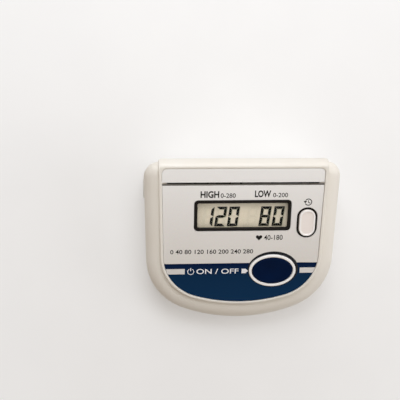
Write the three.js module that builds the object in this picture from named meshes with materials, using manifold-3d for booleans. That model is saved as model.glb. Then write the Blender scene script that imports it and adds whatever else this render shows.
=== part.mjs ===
// Digital blood pressure monitor, a desk unit with a sloping face. Millimetres, X right, Y to the back,
// Z up. The origin is on the table, under the middle of the case.
import * as THREE from 'three';
import { mergeVertices } from 'three/addons/utils/BufferGeometryUtils.js';
import Module from 'manifold-3d';

const wasm = await Module();
wasm.setup();

// Case
const CASE_BACK_HALF = 66;        // half width at the back of the wings
const CASE_FRONT_HALF = 65;       // half width where the front corners begin
const WING_BACK = 53.8;           // y of the wings' back wall
const CASE_FRONT = -56;           // y of the front
const CASE_BACK_RADIUS = 10;
const CASE_CORNER_RADIUS = 39;
const CASE_FRONT_RADIUS = 110.7;
const PLATFORM_BACK = 56;         // y of the raised platform's back wall
const WALL = 2;
const CLEARANCE = 0.3;            // gap between pieces that touch or slide
const FACE_TILT = THREE.MathUtils.degToRad(18);
const FACE_TOP_Y = 48.9;          // top edge of the face panel
const FACE_TOP_Z = 58;
const WING_DROP = 2.2;            // wings lie this far under the panel's plane
const SHOULDER_WIDTH = 9;
const SHOULDER_HEIGHT = 7;
const RIM_HEIGHT = 0.5;           // rim of the platform above the panel
const ROLL_WIDTH = 6.5;           // rolled edge at the back of the platform
const ROLL_HEIGHT = 7.7;
const PARTING = 11;               // height of the line between the two cases
const FOOT_HEIGHT = 2;            // underside of the case above the table
const FLOOR = 2.2;                // thickness of the lower case's floor
const TONGUE = 1.2;               // lip of the lower case inside the upper one
const TONGUE_HEIGHT = 2;

// Face panel, in the face's own plane: u to the right, s down the slope from the panel's top edge
const PANEL_HALF = 54;
const PANEL_TAPER = 0.9;          // each side draws in by this much down to the corner
const PANEL_LENGTH = 96.8;
const PANEL_BACK_RADIUS = 3.4;
const PANEL_CORNER_RADIUS = 31;
const PANEL_FRONT_RADIUS = 105;
const PANEL_THICKNESS = 1;
const RIM_WIDTH = 2.3;
const PLATFORM_BACK_RADIUS = 3.6;
const CONTROL_TOP = 67.9;         // where the dark plate begins
const GROOVE_PLACE = 11.25;
const GROOVE_WIDTH = 0.8;
const GROOVE_DEPTH = 0.4;

// Display
const DISPLAY_PLACE = 32.94;      // s of the middle of the display
const DISPLAY_MARGIN = 21.55;      // from the panel's side to the bezel
const BEZEL_WIDTH = 2 * (PANEL_HALF - DISPLAY_MARGIN);
const BEZEL_HEIGHT = 21.5;
const BEZEL_BAR = 2;
const BEZEL_RADIUS = 2.4;
const BEZEL_PROUD = 0.3;
const WINDOW_LEDGE = 1;           // the pane reaches this far under the bezel's opening
const WINDOW_THICKNESS = 0.9;
const GLASS_WIDTH = BEZEL_WIDTH + 0.1;
const GLASS_HEIGHT = 23.5;
const GLASS_THICKNESS = 2.2;
const HOLDER_WALL = 1.7;
const ZEBRA_WIDTH = 2;
const ZEBRA_MARGIN = 2.5;         // from the glass's end to a strip's end

// Keys
const START_PLACE = [21.8, 73.5];
const START_SIZE = [28, 19.3];
const START_RING_BAR = 1.95;
const START_RING_PROUD = 0.8;
const START_PROUD = 1.1;
const MEMORY_EDGE = 10.2;         // from the panel's side to the key's middle
const MEMORY_PLACE = [PANEL_HALF - MEMORY_EDGE, 38.35];
const MEMORY_SIZE = [10.95, 18.9];
const MEMORY_SURROUND_BAR = 0.95;
const MEMORY_SURROUND_PROUD = 0.15;
const MEMORY_PROUD = 1.2;
const KEY_EDGE = 1.3;             // width of a key's rounded edge
const KEY_FLANGE = 1.2;           // the flange that holds a key in reaches this far out
const KEY_FLANGE_THICKNESS = 1;
const STEM_RADIUS = 2.5;

// Circuit board and what it carries
const BOARD_DEPTH = 10.6;         // top of the board under the panel's plane
const BOARD_THICKNESS = 1.6;
const BOARD_MARGIN = 5;           // from the panel's side to the board's edge
const BOARD_HALF = PANEL_HALF - BOARD_MARGIN;
const BOARD_TOP = 19;
const BOARD_BOTTOM = 80;
const SWITCH_SIZE = 6;
const SWITCH_HEIGHT = 3.1;
const PLUNGER_RADIUS = 1.7;
const PLUNGER_LENGTH = 2.5;
const PLUNGER_PROUD = 0.8;
const BOARD_SCREW_INSET = 4;
const BOARD_SCREW_U = BOARD_HALF - BOARD_SCREW_INSET;
const BOARD_SCREW_PLACES = [[-BOARD_SCREW_U, 24.5], [BOARD_SCREW_U, 24.5], [-4, 72]];
const BOARD_SCREW_RADIUS = 1;
const BOARD_SCREW_HEAD = [2.4, 1.6];
const BOARD_SCREW_LENGTH = 6.5;
const BOARD_BOSS_RADIUS = 3;
const CHIP_PLACE = [0, 58];
const CHIP_SIZE = [14, 14, 1.4];
const BUZZER_PLACE = [-20, 62];
const BUZZER_SIZE = [6, 4];
const CAPACITOR_PLACE = [-40, 62];
const CAPACITOR_SIZE = [4, 8];
const SENSOR_PLACE = [-26, 22.6];
const SENSOR_SIZE = [7, 7, 3.5];

// Battery bay, cells and cover
const CELL_RADIUS = 7.15;
const CELL_LENGTH = 50.5;
const CELL_NUB = [2.6, 1.2];
const CELL_EDGE = 0.6;            // bevel at a cell's ends
const CELL_PITCH = 14.7;
const BAY_FRONT = -34;
const CONTACT_THICKNESS = 0.5;
const CONTACT_HEIGHT = 10;
const SPRING_LENGTH = 5.3;
const SPRING_WIRE = 0.4;          // radius of the wire
const SPRING_RADII = [4.6, 2.8];
const SPRING_TURNS = 3;
const BAY_WALL = 1.2;
const COVER_THICKNESS = 2;
const COVER_LAP = 1.6;            // the cover reaches this far past the bay's back
const COVER_SIDE_LAP = 0.5;
const RAIL_WIDTH = 1.3;
const RAIL_THICKNESS = 0.9;

// Pump, valves and air ways
const PUMP_Y = 39.7;
const AIR_Z = 20;
const AIR_Y = 36;                 // manifold and air socket
const MOTOR_RADIUS = 11;
const MOTOR_LENGTH = 22;
const HEAD_RADIUS = 12.5;
const HEAD_LENGTH = 19.7;
const HEAD_WALL = 2;
const MOTOR_NECK = [3, 1.5];      // radius and length of the bearing boss at the motor's far end
const MOTOR_TO_JACK = 4.5;
const DIAPHRAGM_THICKNESS = 1.5;
const COVER_HEAD_THICKNESS = 4.9;
const SHAFT_RADIUS = 1;
const CAM_RADIUS = 4;
const CAM_THROW = 1.5;
const CAM_WIDTH = 4;
const CAM_GAP = 2;                // from the motor's face to the eccentric
const HEAD_FLOOR = 3;
const MOUNT_HALF = 10;
const MOUNT_WIDTH = 7;
const MOUNT_HEIGHT = 15;
const MANIFOLD_X = -26;
const MANIFOLD_SIZE = [10, 8, 8];
const NOZZLE_RADIUS = 1.4;
const NOZZLE_LENGTH = 3.5;
const AIR_WAY = 0.7;
const TUBE_WALL = 0.9;
const VALVE_SIZE = [14, 12, 12];
const ARMATURE_RADIUS = 2.2;
const ARMATURE_LENGTH = 6;
const ARMATURE_TRAVEL = 1;
const BLEED_RADIUS = 3;
const BLEED_LENGTH = 5.2;
const SOCKET_RADIUS = 5.5;
const SOCKET_FLANGE = [6.8, 1.5];
const SOCKET_BORE = 3.5;
const SOCKET_BORE_DEPTH = 12.6;
const SOCKET_LENGTH = 16.6;
const SIDE_PROUD = 0.6;           // socket and jack faces outside the case's widest line
const JACK_Y = 40;
const JACK_SIZE = [13.4, 9, 11];
const JACK_COLLAR = 4.2;
const JACK_BORE = 2.9;
const JACK_PIN = 0.9;
const JACK_PIN_INSET = 1.5;       // the pin's tip lies this far inside the jack's face
const JACK_BACK = 4;              // thickness of the jack's back wall
const PORT_DEPTH = 12;            // how far in the holes for socket and jack are cut
const STAND_HALF = 3;             // half depth of the stands under the air parts and the jack

// Screws and feet
const CASE_SCREW_X = CASE_BACK_HALF - 12;
const CASE_SCREW_PLACES = [
  [CASE_SCREW_X, 24], [-CASE_SCREW_X, 24], [CASE_SCREW_X, -18], [-CASE_SCREW_X, -18],
];
const CASE_SCREW_RADIUS = 1.3;
const CASE_SCREW_HEAD = [2.8, 2.6];
const CASE_SCREW_LENGTH = 14;
const CASE_BOSS_RADIUS = 3.5;
const CASE_POST_RADIUS = 4;
const CASE_SCREW_SEAT = 9;        // height of the shoulder under the screw's head
const CASE_SCREW_SHOULDER = 5;    // thickness of that shoulder
const FOOT_PLACES = [[53, 42], [-53, 42], [42, -36], [-42, -36]];
const FOOT_RADIUS = 5.5;
const FOOT_POCKET = 0.9;

// Worked-out places
const SLOPE = Math.tan(FACE_TILT);
const facePlane = (y) => FACE_TOP_Z + (y - FACE_TOP_Y) * SLOPE;
const PANEL_SEAT = -PANEL_THICKNESS - CLEARANCE;
const CEILING = PANEL_SEAT - WALL - CLEARANCE / 3;
const BOARD_UNDER = -BOARD_DEPTH - BOARD_THICKNESS;
const SIDE_FACE = CASE_BACK_HALF + SIDE_PROUD;
const CASE_FLOOR = FOOT_HEIGHT + FLOOR;
const JACK_FRONT = CASE_BACK_HALF - WALL - 2 * CLEARANCE;
const PUMP_END = JACK_FRONT - JACK_SIZE[0] - MOTOR_TO_JACK;
const HEAD_START = PUMP_END - MOTOR_NECK[1] - MOTOR_LENGTH - CLEARANCE - HEAD_LENGTH;
const ZEBRA_LENGTH = GLASS_WIDTH - 2 * ZEBRA_MARGIN;
const POST_TOP = CASE_SCREW_SEAT + CASE_SCREW_SHOULDER;
const BEYOND = 5;                 // how far a cutting tool reaches past what it cuts
const OVERLAP = 0.5;              // how far two joined forms run into each other
const BAY_HALF = 2 * CELL_PITCH + 2 * CLEARANCE;
const BAY_LENGTH = CELL_LENGTH + SPRING_LENGTH + 2 * CONTACT_THICKNESS + 4 * CLEARANCE;
const BAY_BACK = BAY_FRONT + BAY_LENGTH;
const COVER_TOP = FOOT_HEIGHT + COVER_THICKNESS;
const CELL_Z = COVER_TOP + 2 * CLEARANCE + CELL_RADIUS;
const BAY_CEILING = CELL_Z + CELL_RADIUS + 2 * CLEARANCE;
const RECESS_TOP = COVER_TOP + CLEARANCE;
const COVER_HALF = BAY_HALF + COVER_SIDE_LAP;
const TUBE_BORE = NOZZLE_RADIUS + CLEARANCE;
const TUBE_RADIUS = TUBE_BORE + TUBE_WALL;

// Solids and geometries
function toSolid(geometry) {
  const bare = geometry.clone();
  bare.deleteAttribute('normal');
  bare.deleteAttribute('uv');
  const merged = mergeVertices(bare, 1e-4);
  return new wasm.Manifold(new wasm.Mesh({
    numProp: 3,
    vertProperties: new Float32Array(merged.attributes.position.array),
    triVerts: new Uint32Array(merged.index.array),
  }));
}

function toGeometry(solid) {
  const mesh = solid.getMesh();
  const geometry = new THREE.BufferGeometry();
  geometry.setAttribute('position', new THREE.BufferAttribute(mesh.vertProperties, 3));
  geometry.setIndex(new THREE.BufferAttribute(mesh.triVerts, 1));
  geometry.computeVertexNormals();
  return geometry;
}

const join = (first, ...others) => others.reduce((sum, other) => sum.add(other), first);
const cut = (first, ...others) => others.reduce((rest, other) => rest.subtract(other), first);

// A block between two corners
function block(low, high) {
  const size = high.map((value, i) => value - low[i]);
  const geometry = new THREE.BoxGeometry(...size);
  geometry.translate(...low.map((value, i) => value + size[i] / 2));
  return geometry;
}

// A round bar along one axis, from one coordinate to another
function bar(axis, radius, from, to, [a, b], sides = 14) {
  const geometry = new THREE.CylinderGeometry(radius, radius, to - from, sides);
  geometry.translate(0, (from + to) / 2, 0);
  if (axis === 'x') {
    geometry.rotateZ(-Math.PI / 2);
    geometry.translate(0, a, b);
  } else if (axis === 'y') {
    geometry.translate(a, 0, b);
  } else {
    geometry.rotateX(Math.PI / 2);
    geometry.translate(a, b, 0);
  }
  return geometry;
}

// A turned shape along X, from pairs of place along the axis and radius
function turnedX(profile, [y, z], sides = 20) {
  const points = profile.map(([along, radius]) => new THREE.Vector2(radius, along));
  const geometry = new THREE.LatheGeometry(points, sides);
  geometry.rotateZ(-Math.PI / 2);
  geometry.translate(0, y, z);
  return geometry;
}

const solidBlock = (low, high) => toSolid(block(low, high));
const solidBar = (...args) => toSolid(bar(...args));

function prism(shape, from, to, segments = 12) {
  const geometry = new THREE.ExtrudeGeometry(shape, {
    depth: to - from, bevelEnabled: false, curveSegments: segments,
  });
  geometry.translate(0, 0, from);
  return geometry;
}

// The face's own frame: x is u, y is -s, z is height above the panel's plane
const face = new THREE.Group();
face.position.set(0, FACE_TOP_Y, FACE_TOP_Z);
face.rotation.x = FACE_TILT;
face.updateMatrixWorld(true);
const onFace = (geometry) => toSolid(geometry.clone().applyMatrix4(face.matrixWorld));

function arc(points, [x, y], radius, from, to, steps) {
  for (let i = 0; i <= steps; i += 1) {
    const angle = from + ((to - from) * i) / steps;
    points.push(new THREE.Vector2(x + radius * Math.cos(angle), y + radius * Math.sin(angle)));
  }
}

// The D-shaped outline of the case and the panel: straight back, slightly drawn-in sides, two large
// front corners that run smoothly into one wide front arc. An inset keeps every arc's centre.
function dOutline(form, inset = 0) {
  const half = form.frontHalf - inset;
  const corner = form.cornerRadius - inset;
  const frontRadius = form.frontRadius - inset;
  const frontCentre = form.front + form.frontRadius;
  const cornerX = half - corner;
  const cornerY = frontCentre - Math.sqrt((frontRadius - corner) ** 2 - cornerX ** 2);
  const turn = Math.atan2(cornerY - frontCentre, cornerX);
  const backRadius = Math.max(form.backRadius - inset, 0.2);
  const backCentre = [form.backHalf - inset - backRadius, form.back - inset - backRadius];
  const right = [];
  arc(right, backCentre, backRadius, Math.PI / 2, 0, 4);
  arc(right, [cornerX, cornerY], corner, 0, turn, 8);
  const front = [];
  arc(front, [0, frontCentre], frontRadius, turn, -Math.PI / 2, 5);
  right.push(...front.slice(1));
  const left = right.slice(0, -1).map((p) => new THREE.Vector2(-p.x, p.y)).reverse();
  return [...right, ...left].reverse();
}

const WING = {
  backHalf: CASE_BACK_HALF,
  frontHalf: CASE_FRONT_HALF,
  back: WING_BACK,
  front: CASE_FRONT,
  backRadius: CASE_BACK_RADIUS,
  cornerRadius: CASE_CORNER_RADIUS,
  frontRadius: CASE_FRONT_RADIUS,
};
const PANEL = {
  backHalf: PANEL_HALF,
  frontHalf: PANEL_HALF - PANEL_TAPER,
  back: 0,
  front: -PANEL_LENGTH,
  backRadius: PANEL_BACK_RADIUS,
  cornerRadius: PANEL_CORNER_RADIUS,
  frontRadius: PANEL_FRONT_RADIUS,
};
const PLATFORM_REACH = (PLATFORM_BACK - FACE_TOP_Y) / Math.cos(FACE_TILT);
const PLATFORM = {
  backHalf: PANEL_HALF + RIM_WIDTH,
  frontHalf: PANEL_HALF - PANEL_TAPER + RIM_WIDTH,
  back: PLATFORM_REACH,
  front: -PANEL_LENGTH - RIM_WIDTH,
  backRadius: PLATFORM_BACK_RADIUS,
  cornerRadius: PANEL_CORNER_RADIUS + RIM_WIDTH,
  frontRadius: PANEL_FRONT_RADIUS + RIM_WIDTH,
};

// The platform's outline is drawn on the sloping face and seen here from straight above
const fromAbove = (points) => points.map(
  (p) => new THREE.Vector2(p.x, FACE_TOP_Y + p.y * Math.cos(FACE_TILT)),
);
const wingOutline = (inset) => dOutline(WING, inset);
const platformOutline = (inset) => fromAbove(dOutline(PLATFORM, inset));

// Joins rings of equal count, lowest first, into one closed body
function loft(rings) {
  const count = rings[0].length;
  const positions = rings.flat().flatMap((p) => [p.x, p.y, p.z]);
  const index = [];
  for (let r = 0; r < rings.length - 1; r += 1) {
    for (let i = 0; i < count; i += 1) {
      const a = r * count + i;
      const b = r * count + ((i + 1) % count);
      index.push(a, b, b + count, a, b + count, a + count);
    }
  }
  const top = (rings.length - 1) * count;
  for (let i = 1; i < count - 1; i += 1) {
    index.push(0, i + 1, i, top, top + i, top + i + 1);
  }
  const geometry = new THREE.BufferGeometry();
  geometry.setAttribute('position', new THREE.Float32BufferAttribute(positions, 3));
  geometry.setIndex(index);
  return geometry;
}

const ring = (outline, height) => outline.map((p) => new THREE.Vector3(p.x, p.y, height(p.y)));

// The wings: a D-shaped body under the sloping plane, with a rounded shoulder all round
function wingBody(inset, drop, bottom, steps = 3) {
  const rings = [ring(wingOutline(inset), () => bottom)];
  for (let i = 0; i <= steps; i += 1) {
    const angle = ((Math.PI / 2) * i) / steps;
    const inward = SHOULDER_WIDTH * (1 - Math.cos(angle));
    const fall = WING_DROP + drop + SHOULDER_HEIGHT * (1 - Math.sin(angle));
    rings.push(ring(wingOutline(inset + inward), (y) => facePlane(y) - fall));
  }
  return toSolid(loft(rings));
}

// The platform: its outline from above, under a profile that follows the face and rolls over at the back
function platformBody(inset, drop, bottom) {
  const back = PLATFORM_BACK - inset;
  const rollStart = back - ROLL_WIDTH;
  const top = (y) => facePlane(y) + RIM_HEIGHT / Math.cos(FACE_TILT) - drop;
  const side = new THREE.Shape();
  side.moveTo(CASE_FRONT, bottom);
  side.lineTo(back, bottom);
  side.lineTo(back, top(rollStart) - ROLL_HEIGHT);
  side.bezierCurveTo(
    back, top(rollStart) - ROLL_HEIGHT / 2,
    rollStart + ROLL_WIDTH / 2, top(rollStart + ROLL_WIDTH / 2),
    rollStart, top(rollStart),
  );
  side.lineTo(CASE_FRONT, top(CASE_FRONT));
  const width = 2 * CASE_BACK_HALF;
  const profile = prism(side, -width / 2, width / 2, 8);
  profile.applyMatrix4(new THREE.Matrix4().makeBasis(
    new THREE.Vector3(0, 1, 0), new THREE.Vector3(0, 0, 1), new THREE.Vector3(1, 0, 0),
  ));
  const column = prism(new THREE.Shape(platformOutline(inset)), bottom, 2 * FACE_TOP_Z);
  return toSolid(profile).intersect(toSolid(column));
}

// Lower outer form: both outlines with a rounded bottom edge
const BOTTOM_EDGE = [[0, 3.2], [0.6, 1.6], [2, 0.5], [4.5, 0]];
function lowerBody(inset, bottom, top) {
  const form = (outline) => {
    const rings = BOTTOM_EDGE.map(([rise, inward]) => ring(outline(inset + inward), () => bottom + rise));
    rings.push(ring(outline(inset), () => top));
    return toSolid(loft(rings));
  };
  return form(wingOutline).add(form(platformOutline));
}

function straightBody(inset, bottom, top) {
  const form = (outline) => toSolid(loft([
    ring(outline(inset), () => bottom), ring(outline(inset), () => top),
  ]));
  return form(wingOutline).add(form(platformOutline));
}

// Flat shapes on the face
function ellipse([width, height], grow = 0) {
  const shape = new THREE.Shape();
  shape.absellipse(0, 0, width / 2 + grow, height / 2 + grow, 0, 2 * Math.PI);
  return shape;
}

function roundedBox(width, height, radius) {
  const shape = new THREE.Shape();
  const x = width / 2 - radius;
  const y = height / 2 - radius;
  shape.absarc(x, y, radius, 0, Math.PI / 2);
  shape.absarc(-x, y, radius, Math.PI / 2, Math.PI);
  shape.absarc(-x, -y, radius, Math.PI, 1.5 * Math.PI);
  shape.absarc(x, -y, radius, 1.5 * Math.PI, 2 * Math.PI);
  return shape;
}

const obround = ([width, height], grow = 0) => (
  roundedBox(width + 2 * grow, height + 2 * grow, width / 2 + grow)
);
const placed = (geometry, [u, s]) => geometry.translate(u, -s, 0);

const KEYS = {
  start: { outline: (grow) => ellipse(START_SIZE, grow), place: START_PLACE, segments: 15 },
  memory: { outline: (grow) => obround(MEMORY_SIZE, grow), place: MEMORY_PLACE, segments: 3 },
};
const keyPrism = (key, grow, from, to) => (
  placed(prism(key.outline(grow), from, to, key.segments), key.place)
);

// Display openings, centred on the display
const displayPrism = (width, height, radius, from, to) => (
  placed(prism(roundedBox(width, height, radius), from, to, 2), [0, DISPLAY_PLACE])
);
const OPENING_WIDTH = BEZEL_WIDTH - 2 * BEZEL_BAR;
const OPENING_HEIGHT = BEZEL_HEIGHT - 2 * BEZEL_BAR;
const PANE_WIDTH = OPENING_WIDTH + 2 * WINDOW_LEDGE;
const PANE_HEIGHT = OPENING_HEIGHT + 2 * WINDOW_LEDGE;
const OPENING_RADIUS = 1;

function makeUpperCase() {
  const bottom = PARTING + CLEARANCE / 2;
  const outer = wingBody(0, 0, bottom, 6).add(platformBody(0, 0, bottom));
  const platformDrop = (RIM_HEIGHT - CEILING) / Math.cos(FACE_TILT);
  const under = bottom - 1;
  const inner = wingBody(WALL, WALL, under).add(platformBody(WALL, platformDrop, under));
  const panelWell = onFace(prism(new THREE.Shape(dOutline(PANEL, -CLEARANCE)), PANEL_SEAT, BEYOND));
  const paneWell = onFace(displayPrism(
    PANE_WIDTH + 2 * CLEARANCE, PANE_HEIGHT + 2 * CLEARANCE, OPENING_RADIUS + CLEARANCE,
    PANEL_SEAT - WINDOW_THICKNESS - CLEARANCE, 0,
  ));
  const displayHole = onFace(displayPrism(OPENING_WIDTH, OPENING_HEIGHT, OPENING_RADIUS, CEILING - 1, 0));
  const keyHoles = Object.values(KEYS).map((key) => onFace(keyPrism(key, CLEARANCE, CEILING - 1, 0)));

  // Bosses hang from the shell, trimmed to its outer form
  const caseBosses = CASE_SCREW_PLACES.map(
    (place) => solidBar('z', CASE_BOSS_RADIUS, POST_TOP, FACE_TOP_Z, place),
  );
  const boardBosses = BOARD_SCREW_PLACES.map(([u, s]) => onFace(
    bar('z', BOARD_BOSS_RADIUS, -BOARD_DEPTH + CLEARANCE, PANEL_SEAT - WALL / 2, [u, -s]),
  ));
  const trim = wingBody(WALL / 2, WALL / 2, under).add(
    platformBody(WALL / 2, platformDrop - WALL / 2, under),
  );
  const shell = cut(outer, inner);
  const bosses = join(...caseBosses, ...boardBosses).intersect(trim);
  const screwTip = CASE_SCREW_SEAT + CASE_SCREW_LENGTH + 1;
  const screwHoles = CASE_SCREW_PLACES.map(
    (place) => solidBar('z', CASE_SCREW_RADIUS + CLEARANCE, POST_TOP - 1, screwTip, place, 12),
  );
  const boardScrewTip = BOARD_UNDER + BOARD_SCREW_LENGTH + 1;
  const boardHoles = BOARD_SCREW_PLACES.map(([u, s]) => onFace(
    bar('z', BOARD_SCREW_RADIUS + CLEARANCE, -BOARD_DEPTH - 1, boardScrewTip, [u, -s], 12),
  ));
  const socketHole = solidBar(
    'x', SOCKET_RADIUS + CLEARANCE, -SIDE_FACE - 1, PORT_DEPTH - SIDE_FACE, [AIR_Y, AIR_Z], 24,
  );
  const flangeSeat = SOCKET_FLANGE[1] + CLEARANCE - SIDE_FACE;
  const socketWell = solidBar(
    'x', SOCKET_FLANGE[0] + CLEARANCE, -SIDE_FACE - 1, flangeSeat, [AIR_Y, AIR_Z], 24,
  );
  const jackHole = solidBar(
    'x', JACK_COLLAR + CLEARANCE, SIDE_FACE - PORT_DEPTH, SIDE_FACE + 1, [JACK_Y, AIR_Z],
  );
  return toGeometry(cut(
    shell.add(bosses), panelWell, paneWell, displayHole, ...keyHoles,
    ...screwHoles, ...boardHoles, socketHole, socketWell, jackHole,
  ));
}

const PUMP_FACE = HEAD_START + HEAD_LENGTH;
const HEAD_MOUNT_X = HEAD_START + HEAD_LENGTH / 3;
const MOTOR_START = PUMP_FACE + CLEARANCE;
const MOTOR_MOUNT_X = MOTOR_START + MOTOR_LENGTH / 2;
const VALVE_FRONT = AIR_Y + MANIFOLD_SIZE[1] / 2 + CLEARANCE;

function makeLowerCase() {
  const top = PARTING - CLEARANCE / 2;
  const outer = lowerBody(0, FOOT_HEIGHT, top);
  const lip = straightBody(WALL + CLEARANCE, CASE_FLOOR, PARTING + TONGUE_HEIGHT);
  const wellWall = WALL + CLEARANCE + TONGUE;
  const well = straightBody(wellWall, CASE_FLOOR, FACE_TOP_Z);
  const railHalf = COVER_HALF + RAIL_WIDTH + CLEARANCE;
  const padHalf = railHalf + WALL;
  const padBack = BAY_BACK + COVER_LAP + WALL;
  const pad = solidBlock(
    [-padHalf, CASE_FRONT, FOOT_HEIGHT + 1], [padHalf, padBack, RECESS_TOP + FLOOR],
  ).intersect(straightBody(WALL, FOOT_HEIGHT, PARTING));
  const bay = solidBlock(
    [-BAY_HALF - BAY_WALL, BAY_FRONT - BAY_WALL, CASE_FLOOR - 1],
    [BAY_HALF + BAY_WALL, BAY_BACK + BAY_WALL, BAY_CEILING + BAY_WALL],
  );
  const bayHollow = solidBlock([-BAY_HALF, BAY_FRONT, 0], [BAY_HALF, BAY_BACK, BAY_CEILING]);
  const coverWell = solidBlock(
    [-COVER_HALF - CLEARANCE, CASE_FRONT - BEYOND, 0],
    [COVER_HALF + CLEARANCE, BAY_BACK + COVER_LAP + CLEARANCE, RECESS_TOP],
  );
  const railWell = solidBlock(
    [-railHalf, CASE_FRONT - BEYOND, RECESS_TOP - RAIL_THICKNESS - 2 * CLEARANCE],
    [railHalf, BAY_BACK + COVER_LAP + CLEARANCE, RECESS_TOP],
  );
  const postTop = POST_TOP - CLEARANCE;
  const posts = CASE_SCREW_PLACES.map(
    (place) => solidBar('z', CASE_POST_RADIUS, CASE_FLOOR - 1, postTop, place),
  );
  const headWells = CASE_SCREW_PLACES.map(
    (place) => solidBar('z', CASE_SCREW_HEAD[0] + CLEARANCE, 0, CASE_SCREW_SEAT, place, 16),
  );
  const shankHoles = CASE_SCREW_PLACES.map(
    (place) => solidBar('z', CASE_SCREW_RADIUS + CLEARANCE, 0, postTop + 1, place, 12),
  );
  const footWells = FOOT_PLACES.map(
    (place) => solidBar('z', FOOT_RADIUS + CLEARANCE, 0, FOOT_HEIGHT + FOOT_POCKET, place, 20),
  );

  // Stands under the manifold, the valve and the power jack
  const stand = (x, y, halfX, halfY, height) => solidBlock(
    [x - halfX, y - halfY, CASE_FLOOR - 1], [x + halfX, y + halfY, height - CLEARANCE],
  );
  const manifoldStand = stand(
    MANIFOLD_X, AIR_Y, STAND_HALF, STAND_HALF, AIR_Z - MANIFOLD_SIZE[2] / 2,
  );
  const valveStand = stand(
    MANIFOLD_X, VALVE_FRONT + VALVE_SIZE[1] / 2, VALVE_SIZE[0] / 3, STAND_HALF,
    AIR_Z - VALVE_SIZE[2] / 2,
  );
  const jackX = JACK_FRONT - JACK_SIZE[0] / 2;
  const jackStand = stand(jackX, JACK_Y, JACK_SIZE[0] / 3, STAND_HALF, AIR_Z - JACK_SIZE[2] / 2);
  const body = join(cut(outer.add(lip), well), pad, bay, ...posts, manifoldStand, valveStand, jackStand);
  return toGeometry(cut(
    body, bayHollow, coverWell, railWell, ...headWells, ...shankHoles, ...footWells,
  ));
}

function makeBatteryCover() {
  const back = BAY_BACK + COVER_LAP;
  const plate = solidBlock(
    [-COVER_HALF, CASE_FRONT - BEYOND, FOOT_HEIGHT], [COVER_HALF, back, COVER_TOP],
  );
  const rails = solidBlock(
    [-COVER_HALF - RAIL_WIDTH, CASE_FRONT - BEYOND, COVER_TOP - RAIL_THICKNESS],
    [COVER_HALF + RAIL_WIDTH, back, COVER_TOP],
  );
  return toGeometry(plate.add(rails).intersect(lowerBody(0, FOOT_HEIGHT, PARTING)));
}

const panelPlate = () => toSolid(prism(new THREE.Shape(dOutline(PANEL)), -PANEL_THICKNESS, 0));
const ringHole = () => toSolid(keyPrism(
  KEYS.start, CLEARANCE + START_RING_BAR + CLEARANCE, -BEYOND, BEYOND,
));

function makeFacePanel() {
  const wide = PANEL_HALF + BEYOND;
  const lower = solidBlock([-wide, -PANEL_LENGTH - BEYOND, -BEYOND], [wide, -CONTROL_TOP, BEYOND]);
  const groove = solidBlock(
    [-wide, -GROOVE_PLACE - GROOVE_WIDTH / 2, -GROOVE_DEPTH],
    [wide, -GROOVE_PLACE + GROOVE_WIDTH / 2, BEYOND],
  );
  const bezelHole = toSolid(displayPrism(
    BEZEL_WIDTH + 2 * CLEARANCE, BEZEL_HEIGHT + 2 * CLEARANCE, BEZEL_RADIUS + CLEARANCE, -BEYOND, BEYOND,
  ));
  const memoryHole = toSolid(keyPrism(
    KEYS.memory, CLEARANCE + MEMORY_SURROUND_BAR + CLEARANCE, -BEYOND, BEYOND,
  ));
  return toGeometry(cut(panelPlate(), lower, groove, bezelHole, memoryHole, ringHole()));
}

function makeControlPanel() {
  const wide = PANEL_HALF + BEYOND;
  const upper = solidBlock([-wide, -CONTROL_TOP - CLEARANCE, -BEYOND], [wide, BEYOND, BEYOND]);
  return toGeometry(cut(panelPlate(), upper, ringHole()));
}

function makeDisplayBezel() {
  const frame = toSolid(displayPrism(
    BEZEL_WIDTH, BEZEL_HEIGHT, BEZEL_RADIUS, -PANEL_THICKNESS, BEZEL_PROUD,
  ));
  const hole = toSolid(displayPrism(OPENING_WIDTH, OPENING_HEIGHT, OPENING_RADIUS, -BEYOND, BEYOND));
  return toGeometry(cut(frame, hole));
}

function makeHolder() {
  const top = CEILING - CLEARANCE;
  const bottom = -BOARD_DEPTH + CLEARANCE;
  const grow = 2 * (HOLDER_WALL + CLEARANCE);
  const frame = toSolid(displayPrism(GLASS_WIDTH + grow, GLASS_HEIGHT + grow, 1, bottom, top));
  const hole = toSolid(displayPrism(
    GLASS_WIDTH + 2 * CLEARANCE, GLASS_HEIGHT + 2 * CLEARANCE, 0.5, bottom - 1, top + 1,
  ));
  return toGeometry(cut(frame, hole));
}

const GLASS_TOP = CEILING - 2 * CLEARANCE;
const GLASS_BOTTOM = GLASS_TOP - GLASS_THICKNESS;

function makeZebra(side) {
  const middle = -DISPLAY_PLACE + side * (GLASS_HEIGHT / 2 - ZEBRA_WIDTH / 2);
  return block(
    [-ZEBRA_LENGTH / 2, middle - ZEBRA_WIDTH / 2, -BOARD_DEPTH + CLEARANCE],
    [ZEBRA_LENGTH / 2, middle + ZEBRA_WIDTH / 2, GLASS_BOTTOM - CLEARANCE],
  );
}

// A key: a body with a rounded top edge, the flange that holds it in, and the stem that meets the switch
const FLANGE_TOP = CEILING - CLEARANCE;
const SWITCH_TOP = -BOARD_DEPTH + CLEARANCE + SWITCH_HEIGHT;
const PLUNGER_TOP = SWITCH_TOP + PLUNGER_PROUD;

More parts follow.
